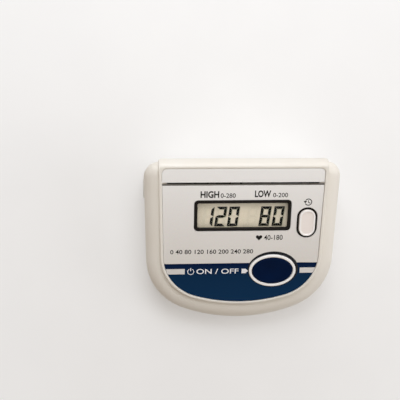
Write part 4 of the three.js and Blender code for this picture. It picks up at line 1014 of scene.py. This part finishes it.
def make_numerals():
    """Every bar of every digit goes to the lit or to the unlit ones."""
    shapes = bar_shapes()
    lit, unlit = [], []
    for left, digit in DIGITS:
        for name, shape in shapes.items():
            bars = lit if name in LIT.get(digit, "") else unlit
            bars.append(segment(left, shape))
    flat_marks("lcd_unlit_bars", unlit, 0.01, lcd_ghost)
    flat_marks("lcd_bar_shadows", [outline + SHADOW_SHIFT for outline in lit], 0.03, lcd_shadow)
    flat_marks("lcd_bars", lit, 0.12, lcd_segment)
    return len(lit)


glass = rounded_box(DISPLAY_PLACE, *GLASS_SIZE, GLASS_RADIUS)
sandwich = plate("lcd_sandwich", [glass], GLASS_BOTTOM, GLASS_TOP, lcd_reflector, GLASS_EDGE)
finish(sandwich, "root", "lcd", "lcd_glass")
print("lit bars:", make_numerals())

# %% [markdown]
# ## Keys
#
# The start key is a dark oval with a shallow dish inside an ivory ring. The memory key is an upright pill
# inside a black surround; a whiter, glossier ring laid along its rounded edge is a painted highlight. Each
# is a stack of outlines, like the rings of an onion: from the stem that meets the switch, over the flange
# that holds the key in, up the side, round the edge and into the dish.

# %% Key surfaces
FLANGE_TOP, FLANGE_BOTTOM, STEM_BOTTOM = -3.7, -4.7, -6.1
STEM_SIZE, FLANGE_BAR = (5, 5), 1.2


def stack(outline_of, place, steps):
    """One outline per step of size and height."""
    return [face_ring(outline_of(place, *size), height) for size, height in steps]


def pill(place, width, height):
    """A box whose corners are as round as its shorter side allows."""
    return rounded_box(place, width, height, min(width, height) / 2 - 0.005, 24)


def key_steps(size, proud, edge, depth, width_of_fall, count=24):
    """Edge: a quarter circle. Dish: its depth times the squared sine of the way in from the edge."""
    flange = grown(size, FLANGE_BAR)
    steps = [
        (STEM_SIZE, STEM_BOTTOM), (STEM_SIZE, FLANGE_BOTTOM), (flange, FLANGE_BOTTOM),
        (flange, FLANGE_TOP), (size, FLANGE_TOP), (size, proud - edge),
    ]
    for angle in np.linspace(0, math.pi / 2, 9)[1:]:
        inset = edge * (1 - math.cos(angle))
        steps.append((grown(size, -inset), proud - edge * (1 - math.sin(angle))))
    top = grown(size, -edge)
    for share in np.linspace(1, 0.03, count)[1:]:
        narrow = min(top) * (1 - share)
        fall = depth * math.sin(math.pi / 2 * min(1, (1 - share) / width_of_fall)) ** 2
        steps.append(((top[0] - narrow, top[1] - narrow), proud - fall))
    return steps


print("rings of the start key:", len(key_steps(START_SIZE, 1.1, 0.8, 0.5, 1.0)))


# %% Keys
def make_keys():
    """The two caps, and a white ring on the memory key's rounded edge as a painted highlight; its section is
    pairs of inset and height.
    """
    steps = key_steps(START_SIZE, proud=1.1, edge=0.8, depth=0.5, width_of_fall=1.0)
    start = capped("start_key_cap", stack(oval, START_PLACE, steps), navy_key_abs)
    finish(start, "start_key", "navy_key", "start_button")
    steps = key_steps(MEMORY_SIZE, proud=1.2, edge=0.7, depth=0.35, width_of_fall=0.16, count=40)
    memory = capped("memory_key_cap", stack(pill, MEMORY_PLACE, steps), ivory_key_abs)
    finish(memory, "memory_key", "ivory_key", "memory_button")
    # A whiter ring over the memory key's rounded edge: a painted highlight.
    section = [
        (0.2, 1.1), (0.22, 1.2), (0.3, 1.26), (0.7, 1.27),
        (1.15, 1.24), (1.3, 1.1), (1.3, 0.9), (0.2, 0.9),
    ]
    steps = [(grown(MEMORY_SIZE, -inset), level) for inset, level in section]
    rim = tyre("memory_key_highlight_ring", stack(pill, MEMORY_PLACE, steps), highlight_rim_abs)
    finish(rim, "memory_key", "ivory_key")
    return start, memory, rim


tell("two key caps and a rim", *make_keys())


# %% Rings round the keys
def ring_steps(size, bar, section):
    """Section: pairs of share across the bar and height."""
    return [(grown(size, CLEARANCE + bar * share), height) for share, height in section]


def make_rings():
    """Each goes up the inside, over its rounded top and down the outside."""
    section = [
        (0, -PANEL_THICKNESS), (0, 0.5), (0.03, 0.64), (0.09, 0.74), (0.18, 0.79), (0.3, 0.8),
        (0.7, 0.78), (0.84, 0.74), (0.93, 0.64), (0.98, 0.48), (1, 0.3), (1, -PANEL_THICKNESS),
    ]
    steps = ring_steps(START_SIZE, RING_BAR, section)
    ring = tyre("start_key_ring", stack(oval, START_PLACE, steps), ring_abs)
    finish(ring, "root", "ivory_abs", "start_button_ring")
    section = [
        (0, -PANEL_THICKNESS), (0, 0.02), (0.12, 0.12), (0.3, 0.15), (0.7, 0.15), (0.88, 0.12), (1, 0.02),
        (1, -PANEL_THICKNESS),
    ]
    steps = ring_steps(MEMORY_SIZE, SURROUND_BAR, section)
    surround = tyre("memory_key_surround", stack(pill, MEMORY_PLACE, steps), black_abs)
    finish(surround, "root", "black_abs", "memory_button_surround")
    return ring, surround


tell("ring and surround", *make_rings())

# %% [markdown]
# ## Printed marks
#
# Text is drawn by Blender's own font, turned into a mesh, stretched to the box that it has to fill, and
# only then laid on the slope. The marks are plain numbers, HIGH and LOW, ON and OFF, and common symbols.

# %% Words
dark_ink = grained_plastic(
    "dark_screen_ink", "120E0A", "0F0B08", 0.55, 0.5, 0.004, Specular_IOR_Level=0.15,
)
pale_ink = grained_plastic("pale_screen_ink", "F6F8FC", "F0F2F7", 0.5, 0.5, 0.004)


def lettering(name, words, box, material, weight, slot="silver_panel"):
    """Text that fills a box of left, right, top and bottom: each point keeps its share of the way across."""
    curve = bpy.data.curves.new(name, "FONT")
    curve.body = words
    curve.resolution_u = 4
    curve.offset = weight
    curve.extrude = 0.02
    obj = curve_to_mesh(name, curve, material)
    points = mesh_points(obj.data)
    low, high = points.min(axis=0), points.max(axis=0)
    share = (points - low) / (high - low)
    left, right, top, bottom = box
    u = left + share[:, 0] * (right - left)
    v = -bottom + share[:, 1] * (bottom - top)
    fitted = to_world(u, v, share[:, 2] * (INK_SINK + INK_TOP) - INK_SINK)
    obj.data.vertices.foreach_set("co", (fitted * MM).ravel())
    obj.data.update()
    return finish(obj, "root", slot)


WORDS = [
    ("mark_high", "HIGH", (-28.6, -16.2, 15.4, 20.2), dark_ink, 0.03),
    ("mark_high_range", "0-280", (-15.2, -5.2, 17.0, 20.2), dark_ink, 0.01),
    ("mark_low", "LOW", (7.6, 18.4, 15.1, 19.9), dark_ink, 0.03),
    ("mark_low_range", "0-200", (19.8, 29.8, 16.9, 20.0), dark_ink, 0.01),
    ("mark_beat_range", "40-180", (15.0, 27.8, 47.1, 50.8), dark_ink, 0.01),
    ("mark_scale", "0 40 80 120 160 200 240 280", (-48.6, 8.0, 57.4, 60.6), dark_ink, 0.012),
]
for name, words, box, ink, weight in WORDS:
    lettering(name, words, box, ink, weight)
lettering("mark_on_off", "ON / OFF", (-30.6, -1.6, 71.8, 75.6), pale_ink, 0.008, "navy_panel")
print("printed words:", len(WORDS) + 1)


# %% Shapes of the symbols
def heart(place, width):
    """x is the cube of the sine; y is a sum of cosines of one, two, three and four times the angle."""
    t = np.linspace(0, 2 * math.pi, 60, endpoint=False)
    x = 16 * np.sin(t) ** 3
    y = 13 * np.cos(t) - 5 * np.cos(2 * t) - 2 * np.cos(3 * t) - np.cos(4 * t)
    return np.column_stack([x, y]) * width / 32 + (place[0], -place[1])


def broken_ring(place, radius, bar, start, end):
    """Part of a ring between two angles in degrees: its outer arc, then its inner arc back."""
    angles = math.radians(start), math.radians(end)
    outer = arc(place, radius + bar / 2, *angles, 60)
    return np.vstack([outer, arc(place, radius - bar / 2, *angles[::-1], 60)])


print("points on the heart:", len(heart((0, 0), 1)))

# %% Symbols
bar_ink = grained_plastic("warm_grey_screen_ink", "E1E0DF", "DCDAD8", 0.5, 0.6, 0.004)
RECALL, STANDBY = np.array([43.9, -23.6]), np.array([-34.5, -73.8])
STRIPE_TOP, STRIPE_BOTTOM, STRIPE_ENDS, STRIPE_INK = 71.65, 75.6, (-38.6, 40.9), 0.05
right, left = band(STRIPE_TOP, STRIPE_BOTTOM, 12)
left_end, right_end = [[(u, -STRIPE_TOP), (u, -STRIPE_BOTTOM)] for u in STRIPE_ENDS]
RECALL_MARK = {
    "mark_recall_ring": broken_ring(RECALL, 2.2, 0.6, -150, 150),
    "mark_recall_head": RECALL + [(-3.3, 0.9), (-0.9, 0.7), (-2.2, -0.9)],
    "mark_recall_hands": RECALL + [
        (-0.25, 1.3), (-0.25, -0.2), (1.1, -1.0), (1.35, -0.6), (0.25, 0.1), (0.25, 1.3),
    ],
}
STANDBY_MARK = {
    "mark_standby_ring": broken_ring(STANDBY, 2.1, 0.45, 118, 422),
    "mark_standby_bar": rounded_box((STANDBY[0], -STANDBY[1] - 1.6), 0.55, 2.4, 0.2, 4),
    "mark_arrow": np.array([(0.5, -75.4), (3.3, -75.4), (5.0, -73.7), (3.3, -72.0), (0.5, -72.0)]),
}
STRIPE = {
    "light_bar_right": np.vstack([right_end[::-1], right]),
    "light_bar_left": np.vstack([left, left_end]),
}
PRINTS = [
    (RECALL_MARK, dark_ink, "silver_panel", INK_TOP),
    ({"mark_heart": heart((11.6, 48.9), 4.4)}, dark_ink, "silver_panel", INK_TOP),
    (STANDBY_MARK, pale_ink, "navy_panel", INK_TOP),
    (STRIPE, bar_ink, "navy_panel", STRIPE_INK),
]
for marks, ink, slot, height in PRINTS:
    for name, outline in marks.items():
        finish(plate(name, [outline], INK_BOTTOM, height, ink), "root", slot)
print("symbols:", sum(len(marks) for marks, *_ in PRINTS))

# %% [markdown]
# ## The lower case
#
# The lower shell follows the same two outlines, with a rolled bottom edge. It is built as solid forms that
# are then added and cut, as a mould maker would think of it: the shell, a pad and a box for the battery
# bay, posts for the screws, and after that the hollows for cells, cover, screws and feet. What is added
# starts within the floor's thickness, so that it overlaps the floor.

# %% Sizes of the lower case
CELL_RADIUS, CELL_PITCH, CELL_LENGTH, SPRING_LENGTH, CONTACT_THICKNESS = 7.15, 14.7, 50.5, 5.3, 0.5
BAY_FRONT, BAY_HALF = -34, 2 * CELL_PITCH + 2 * CLEARANCE
BAY_BACK = BAY_FRONT + CELL_LENGTH + SPRING_LENGTH + 2 * CONTACT_THICKNESS + 4 * CLEARANCE
COVER_TOP = FOOT_HEIGHT + 2
BAY_CEILING = COVER_TOP + 4 * CLEARANCE + 2 * CELL_RADIUS
COVER_HALF, COVER_BACK, RAIL_WIDTH, RAIL_THICKNESS = BAY_HALF + 0.5, BAY_BACK + 1.6, 1.3, 0.9
BOTTOM_WIDTH, BOTTOM_HEIGHT, BAY_WALL, PAD_MARGIN = 4.5, 3.2, 1.2, 5
SHELL_TOP = PARTING - CLEARANCE / 2
TONGUE_TOP, TONGUE = SHELL_TOP + 2.15, 1.2
IN_FLOOR, BAY_LOW, COLUMN_FRONT = FOOT_HEIGHT + 1, FOOT_HEIGHT + 1.5, 49
POST_RADIUS, POST_TOP, SHANK_HOLE, SHANK_LOW, SHANK_HIGH = 4, 13.7, 1.6, 8, 15
SCREW_WELL, WELL_TOP, WELL_CHAMFER, FOOT_WELL, FOOT_WELL_DEPTH = 3.1, 9, 0.5, 5.8, 0.9
SCREWS = [(54, 24), (-54, 24), (54, -18), (-54, -18)]
FEET = [(53, 42), (-53, 42), (42, -36), (-42, -36)]
print("battery bay:", 2 * BAY_HALF, "by", BAY_BACK - BAY_FRONT, "mm")


# %% Forms of the lower case
def wing_outline(inset):
    """The case's own outline, moved in."""
    return d_outline(WING, inset)


def middle_of_wall(inset):
    """The line half a wall's thickness inside the case's outline."""
    return d_outline(WING, inset + WALL / 2)


def bottom_rings(outline_of, top):
    """Inset and rise follow a quarter of an ellipse from the underside to the upright wall."""
    rings = []
    for angle in np.linspace(math.pi / 2, 0, 12):
        outline = outline_of(BOTTOM_WIDTH * (1 - math.cos(angle)))
        rings.append(flat_ring(outline, FOOT_HEIGHT + BOTTOM_HEIGHT * (1 - math.sin(angle))))
    rings.append(flat_ring(outline_of(0), top - LIP_CHAMFER))
    rings.append(flat_ring(outline_of(LIP_CHAMFER), top))
    return rings


def solid_form(outline_of, top):
    """The outer form filled up, as a tool."""
    return capped("tool", bottom_rings(outline_of, top), ivory_abs)


def slab(reach, low_y, high_y, low_z, high_z):
    """A block that reaches as far to the left as to the right."""
    return box_tool((-reach, low_y, low_z), (reach, high_y, high_z))


def merged(tools):
    """One object from several that don't touch: each one's point numbers start after the last one's."""
    points, faces, offset = [], [], 0
    for tool in tools:
        points.append(mesh_points(tool.data) / MM)
        faces += [[index + offset for index in face.vertices] for face in tool.data.polygons]
        offset += len(tool.data.vertices)
        bpy.data.objects.remove(tool)
    return link_mesh("tool", np.vstack(points), faces, ivory_abs)


print("rings of the rolled bottom edge:", len(bottom_rings(wing_outline, SHELL_TOP)))


# %% The dish and the platform's back
def make_dish():
    """Outside up, over the lip and its tongue, inside down to the floor."""
    outer, inner = wing_outline(WALL + CLEARANCE), wing_outline(WALL + CLEARANCE + TONGUE)
    rings = bottom_rings(wing_outline, SHELL_TOP)
    rings += [flat_ring(outer, SHELL_TOP), flat_ring(outer, TONGUE_TOP)]
    rings += [flat_ring(inner, TONGUE_TOP), flat_ring(inner, FOOT_HEIGHT + FLOOR)]
    return capped("case_bottom", rings, ivory_abs)


def platform_back_column():
    """What the platform adds behind the wings, hollowed by a wall's thickness."""
    column = solid_form(platform_outline, SHELL_TOP)
    carve(column, slab(BEYOND, -BEYOND, COLUMN_FRONT, 0, BEYOND))
    rings = [flat_ring(platform_outline(WALL), z) for z in (FOOT_HEIGHT + FLOOR, BEYOND)]
    carve(column, capped("tool", rings, ivory_abs))
    return column


lower_case = make_dish()
carve(lower_case, platform_back_column(), "UNION")
tell("dish with the platform's back", lower_case)

# %% Battery bay, posts and wells
RECESS_TOP, RECESS_HALF = COVER_TOP + CLEARANCE, COVER_HALF + CLEARANCE
RECESS_BACK = COVER_BACK + CLEARANCE
GROOVE_LOW = RECESS_TOP - RAIL_THICKNESS - 2 * CLEARANCE


def round_tools(places, radius, low, high, sides=64):
    """The same upright cylinder at several places, as one tool."""
    return merged([round_tool("z", radius, low, high, (*place, 0), sides) for place in places])


def make_lower_case(shell):
    """Adds the bay's pad and box and the screws' posts, then cuts bay, recess, rails' groove and wells."""
    pad = slab(BAY_HALF + PAD_MARGIN, -BEYOND, COVER_BACK + WALL, IN_FLOOR, RECESS_TOP + FLOOR)
    carve(pad, solid_form(middle_of_wall, PARTING), "INTERSECT")
    carve(shell, pad, "UNION")
    front, back, top = BAY_FRONT - BAY_WALL, BAY_BACK + BAY_WALL, BAY_CEILING + BAY_WALL
    carve(shell, slab(BAY_HALF + BAY_WALL, front, back, BAY_LOW, top), "UNION")
    carve(shell, round_tools(SCREWS, POST_RADIUS, IN_FLOOR, POST_TOP, 40), "UNION")
    carve(shell, slab(BAY_HALF, BAY_FRONT, BAY_BACK, 0, BAY_CEILING))
    carve(shell, slab(RECESS_HALF, -BEYOND, RECESS_BACK, 0, RECESS_TOP))
    carve(shell, slab(RECESS_HALF + RAIL_WIDTH, -BEYOND, RECESS_BACK, GROOVE_LOW, RECESS_TOP))
    mouth = SCREW_WELL + WELL_CHAMFER
    well = [
        (0, mouth), (FOOT_HEIGHT, mouth), (FOOT_HEIGHT + WELL_CHAMFER, SCREW_WELL), (WELL_TOP, SCREW_WELL),
    ]
    carve(shell, merged([
        *(turned("tool", well, "z", (*place, 0), ivory_abs) for place in SCREWS),
        round_tools(FEET, FOOT_WELL, 0, FOOT_HEIGHT + FOOT_WELL_DEPTH),
    ]))
    carve(shell, round_tools(SCREWS, SHANK_HOLE, SHANK_LOW, SHANK_HIGH, 32))
    return finish(shell, "root", "ivory_abs", "lower_case")


tell("lower case", make_lower_case(lower_case))

# %% Battery cover
RIB_HALF, RIB_WIDTH, RIB_DEPTH, RIB_PLACES = 14, 1.1, 0.5, np.arange(-44, -33, 2.4)
ARROW, ARROW_DEPTH = [(-5, -23), (0, -27), (5, -23), (5, -25), (0, -29), (-5, -25)], 0.4
COVER_EDGE = 0.18


def make_cover():
    """The plate and its rails, trimmed by the case's own form, with grip ribs and an arrow pressed in."""
    cover = slab(COVER_HALF, -BEYOND, COVER_BACK, FOOT_HEIGHT, COVER_TOP)
    rails = slab(COVER_HALF + RAIL_WIDTH, -BEYOND, COVER_BACK, COVER_TOP - RAIL_THICKNESS, COVER_TOP)
    carve(cover, rails, "UNION")
    carve(cover, solid_form(wing_outline, PARTING), "INTERSECT")
    pressed = [slab(RIB_HALF, y, y + RIB_WIDTH, 0, FOOT_HEIGHT + RIB_DEPTH) for y in RIB_PLACES]
    arrow = [flat_ring(ARROW, z) for z in (0, FOOT_HEIGHT + ARROW_DEPTH)]
    pressed.append(capped("tool", arrow, ivory_abs))
    carve(cover, merged(pressed))
    cover.name = "sliding_battery_cover"
    repaint(rounded(cover, COVER_EDGE), ivory_abs)
    return finish(cover, "cover", "ivory_abs", "battery_cover")


tell("battery cover", make_cover())

# %% [markdown]
# ## Feet, screws, air socket and power jack
#
# These are turned pieces: a profile of places along an axis and radii, spun round it. Real ones have
# small radii and chamfers on every edge, and those are what catches the light. A profile that isn't closed
# ends at a very small radius on the axis, where a flat cap shuts it.

# %% Feet
FOOT_TOP = FOOT_HEIGHT + 0.6


def make_feet():
    """Discs whose lower edge is rounded where they meet the table."""
    profile = [
        (FOOT_TOP, 0.4), (FOOT_TOP, 5.3), (FOOT_TOP - 0.2, 5.5), (1.0, 5.5),
        (0.45, 5.35), (0.12, 5.0), (0, 4.5), (0, 0.4),
    ]
    for i, place in enumerate(FEET):
        foot = turned(f"rubber_foot_{i + 1}", profile, "z", (*place, 0), rubber, 56)
        finish(foot, "root", "black_rubber", f"foot_{i + 1}")
    return foot


tell("each foot", make_feet())

# %% Case screws
SCREW_HEAD, SCREW_LENGTH = 2.6, 16.5
SCREW_LOW = WELL_TOP - CLEARANCE - SCREW_HEAD
THREAD_RADIUS, THREAD_WAVE, THREAD_PITCH = 1.12, 0.18, 1.3
CROSS_HALF, CROSS_REACH, CROSS_DEPTH = 0.35, 1.5, 1.3


def make_case_screws():
    """Pan-head screws with a cross recess, and a coarse thread whose radius is a wave along the shank."""
    shank = np.linspace(0.3, 12.6, 90)
    thread = THREAD_RADIUS + THREAD_WAVE * np.cos(2 * math.pi * shank / THREAD_PITCH)
    profile = [(0, 0.2), (0, 2.0), (0.3, 2.5), (0.9, 2.8), (SCREW_HEAD, 2.8), (SCREW_HEAD, 1.3)]
    profile += [*zip(SCREW_HEAD + shank, thread), (SCREW_LENGTH, 0.2)]
    for i, (x, y) in enumerate(SCREWS):
        screw = turned(f"pan_screw_{i + 1}", profile, "z", (x, y, SCREW_LOW), zinc_steel, 40)
        for half_x, half_y in [(CROSS_HALF, CROSS_REACH), (CROSS_REACH, CROSS_HALF)]:
            low = (x - half_x, y - half_y, SCREW_LOW - 1)
            carve(screw, box_tool(low, (x + half_x, y + half_y, SCREW_LOW + CROSS_DEPTH)))
        finish(repaint(screw, zinc_steel), "root", "zinc_steel", f"case_screw_{i + 1}")
    return screw


tell("each screw", make_case_screws())

# %% Air socket
SOCKET_BACK, SOCKET_BORE_END, NOZZLE_END, NOZZLE_RADIUS, NOZZLE_BORE = -50, -54, -46.5, 1.4, 0.7


def make_air_socket():
    """A closed section: flange with a rounded rim, tapered mouth, bore, and the hose nozzle inside."""
    face, seat = -SIDE_FACE, -SIDE_FACE + 1.5
    profile = [
        (face + 0.9, SOCKET_BORE), (face + 0.25, SOCKET_BORE + 0.35), (face, SOCKET_BORE + 0.85),
        (face, SOCKET_FLANGE - 0.55), (face + 0.15, SOCKET_FLANGE - 0.18), (face + 0.5, SOCKET_FLANGE),
        (seat, SOCKET_FLANGE), (seat, SOCKET_RADIUS), (SOCKET_BACK, SOCKET_RADIUS),
        (SOCKET_BACK, NOZZLE_RADIUS), (NOZZLE_END, NOZZLE_RADIUS), (NOZZLE_END, NOZZLE_BORE),
        (SOCKET_BORE_END, NOZZLE_BORE), (SOCKET_BORE_END, SOCKET_BORE),
    ]
    socket = turned("air_hose_socket", profile, "x", (0, AIR_Y, AIR_Z), white_abs, 72, closed=True)
    return finish(socket, "root", "white_abs", "air_socket")


tell("air socket", make_air_socket())

# %% Power jack
JACK_BACK, JACK_FRONT, JACK_HALF_WIDTH, JACK_HALF_HEIGHT, JACK_EDGE = 50, 63.4, 4.5, 5.5, 0.15
COLLAR_START, JACK_BORE_END, PIN_START, PIN_TIP = 62, 54, 53.2, SIDE_FACE - 1.5
JACK_AXIS = (0, JACK_Y, AIR_Z)


def make_jack():
    """The jack's body behind the wall, its round collar with a rounded mouth, and the centre pin."""
    body = box_tool(
        (JACK_BACK, JACK_Y - JACK_HALF_WIDTH, AIR_Z - JACK_HALF_HEIGHT),
        (JACK_FRONT, JACK_Y + JACK_HALF_WIDTH, AIR_Z + JACK_HALF_HEIGHT),
    )
    collar = [
        (COLLAR_START, 0.2), (COLLAR_START, JACK_COLLAR), (SIDE_FACE - 0.4, JACK_COLLAR),
        (SIDE_FACE - 0.1, JACK_COLLAR - 0.12), (SIDE_FACE, JACK_COLLAR - 0.4), (SIDE_FACE, 0.2),
    ]
    carve(body, turned("tool", collar, "x", JACK_AXIS, black_abs), "UNION")
    mouth = [
        (JACK_BORE_END, JACK_BORE), (SIDE_FACE - 0.5, JACK_BORE), (SIDE_FACE + 0.2, JACK_BORE + 0.5),
        (BEYOND, JACK_BORE + 0.5),
    ]
    carve(body, turned("tool", mouth, "x", JACK_AXIS, black_abs))
    body.name = "power_jack_body"
    finish(repaint(rounded(body, JACK_EDGE), black_abs), "root", "black_abs", "dc_jack")
    profile = [
        (PIN_START, 0.1), (PIN_START, JACK_PIN), (PIN_TIP - 0.4, JACK_PIN), (PIN_TIP - 0.1, 0.62),
        (PIN_TIP, 0.1),
    ]
    pin = turned("power_jack_pin", profile, "x", JACK_AXIS, nickel_steel, 32)
    finish(pin, "root", "nickel_steel", "dc_jack")
    return body, pin


tell("power jack and pin", *make_jack())

# %% [markdown]
# ## Inner pieces
#
# What lies inside keeps the model's own shapes and gets real finishes: a green circuit board with a faint
# weave, plated steel, rubber, and the two-coloured sleeves of the cells, which are seen when the cover
# slides away. The cells lie in series, so every other one is turned end for end.

# %% Inner finishes
WEAVE_SIZE = 4  # bands lie 0.31 of this apart, which is 1.3 mm; real threads are finer and wouldn't show


def circuit_board():
    """Solder mask over glass cloth: glossy green with the weave just showing."""
    material, shader = new_material("green_solder_mask", Roughness=0.3, IOR=1.55)
    settings = {"wave_type": "BANDS", "bands_direction": "X"}
    inputs = {"Vector": object_point(material), "Scale": 1 / (WEAVE_SIZE * MM), "Distortion": 0.6}
    weave = add_node(material, "ShaderNodeTexWave", settings, inputs).outputs["Fac"]
    wire(material, ramp(material, weave, [(0.0, "1B5636"), (1.0, "21603D")]), shader, "Base Color")
    bump(material, shader, weave, 0.01, 0.2)
    return material


def cell_sleeve(name, minus_end, plus_end):
    """A glossy shrink sleeve: dark for two thirds of the cell and copper-coloured at its plus end."""
    material, shader = new_material(name, Roughness=0.28, IOR=1.5)
    point = object_point(material)
    stops = [(0.0, "30353A"), (0.66, "33383E"), (0.68, "B0764A"), (1.0, "B77C4E")]
    wire(material, depth_ramp(material, point, minus_end, plus_end, stops), shader, "Base Color")
    bump(material, shader, noise(material, point, 1.2), 0.01, 0.15)
    return material


solder_mask = circuit_board()
sleeve_plus_back = cell_sleeve("sleeve_plus_back", BAY_FRONT, BAY_BACK)
sleeve_plus_front = cell_sleeve("sleeve_plus_front", BAY_BACK, BAY_FRONT)
print("materials so far:", len(bpy.data.materials))

# %% Which node gets which finish
NODE_FINISHES = {
    solder_mask: ["main_board"],
    sleeve_plus_back: ["cell_1", "cell_3"],
    sleeve_plus_front: ["cell_2", "cell_4"],
    nickel_steel: [
        "contact_front_left", "contact_front_right", "contact_back_left", "contact_back_middle",
        "contact_back_right", "pump_rotor", "valve_plunger",
    ],
    zinc_steel: ["board_screw_1", "board_screw_2", "board_screw_3", "pump_motor", "valve_body"],
    rubber: [
        "zebra_strip_upper", "zebra_strip_lower", "pump_diaphragm", "pump_mount_left", "pump_mount_right",
        "pump_tube", "socket_tube", "sensor_tube", "bleed_valve",
    ],
    white_abs: ["lcd_holder", "pressure_sensor", "pump_head", "pump_head_cover"],
    grey_abs: ["capacitor", "air_manifold", "start_switch_plunger", "memory_switch_plunger"],
    black_abs: ["control_chip", "buzzer", "start_switch", "memory_switch"],
}
for material, names in NODE_FINISHES.items():
    for name in names:
        repaint(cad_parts[name], material)
print("nodes with new finishes:", sum(len(names) for names in NODE_FINISHES.values()))

# %% [markdown]
# ## Floor, lamps and world
#
# Three soft lamps stand in for a light tent. The main one is high behind the monitor, because the back
# edge is the brightest in the photograph; a wide one fills from above, and a third lifts the right side.
# The floor is plain and pale, and what the camera sees past it is white.

# %% Paper and room
def rays_that_see(tree_owner):
    """One for a ray that shows what it meets: from the camera, a mirror or glass. Zero for lighting."""
    path = add_node(tree_owner, "ShaderNodeLightPath").outputs
    total = path["Is Camera Ray"]
    for kind in ("Is Glossy Ray", "Is Transmission Ray"):
        settings = {"operation": "ADD", "use_clamp": True}
        node = add_node(tree_owner, "ShaderNodeMath", settings, {0: total, 1: path[kind]})
        total = node.outputs["Value"]
    return total


def stage_material():
    """Matt paper that grows white with distance, and keeps the object's shadow near it."""
    material, shader = new_material("matt_white_paper", Roughness=0.9)
    point = object_point(material)
    tone = ramp(material, noise(material, point, 60), [(0.4, "EDEDED"), (0.6, "EFEFEF")])
    wire(material, tone, shader, "Base Color")
    distance = add_node(material, "ShaderNodeVectorMath", {"operation": "LENGTH"}, {0: point})
    whiteness = map_range(material, distance.outputs["Value"], From_Min=0.1, From_Max=0.6, To_Min=0.3)
    factors = {0: whiteness, 1: rays_that_see(material)}
    share = add_node(material, "ShaderNodeMath", {"operation": "MULTIPLY"}, factors).outputs["Value"]
    glow = add_node(material, "ShaderNodeEmission", inputs={"Color": linear("FFFFFF"), "Strength": 1.0})
    show_mix(material, share, shader.outputs["BSDF"], glow.outputs["Emission"])
    return material


def room_light():
    """Warm, dim light from all sides, while every ray that sees meets plain white."""
    world = bpy.data.worlds.new("plain_room")
    world.use_nodes = True
    room = world.node_tree.nodes["Background"]
    room.inputs["Color"].default_value = linear("FFE2BE")
    room.inputs["Strength"].default_value = 0.25
    paper = add_node(world, "ShaderNodeBackground", inputs={"Color": linear("FFFFFF"), "Strength": 1.0})
    outputs = room.outputs["Background"], paper.outputs["Background"]
    show_mix(world, rays_that_see(world), *outputs, "World Output")
    return world


bpy.context.scene.world = room_light()
print("world:", bpy.context.scene.world.name)

# %% Floor and lamps
FLOOR_HALF, FLOOR_DROP = 3000, 0.05
AIM = np.array([0, 0, 0.04])


def make_floor():
    """One square, a little lower than the feet."""
    corners = np.array([(-1, -1), (1, -1), (1, 1), (-1, 1)]) * FLOOR_HALF
    floor = link_mesh("paper_floor", flat_ring(corners, -FLOOR_DROP), [(0, 1, 2, 3)], stage_material())


def add_lamp(name, place, size, power, colour):
    """A square soft box, in metres, that faces the object's middle: yaw and pitch are arctangents."""
    data = bpy.data.lights.new(name, "AREA")
    data.shape = "SQUARE"
    data.size = size
    data.energy = power
    data.color = linear(colour)[:3]
    lamp = into_scene(name, data)
    lamp.location = place
    x, y, z = AIM - np.array(place)
    yaw = math.atan2(x, -y)
    pitch = math.atan2(math.hypot(x, y), -z)
    lamp.rotation_euler = Euler((pitch, 0, yaw + math.pi))


make_floor()
add_lamp("main_softbox", (-0.05, 0.42, 0.5), 0.4, 2.2, "F6FAFF")
add_lamp("top_softbox", (0.1, 0.3, 1.0), 0.8, 3.1, "F6FAFF")
add_lamp("right_fill", (0.75, -0.05, 0.35), 0.6, 2.0, "F9FBFF")
bpy.context.scene.view_settings.view_transform = "Standard"
print("lamps:", len(bpy.data.lights))
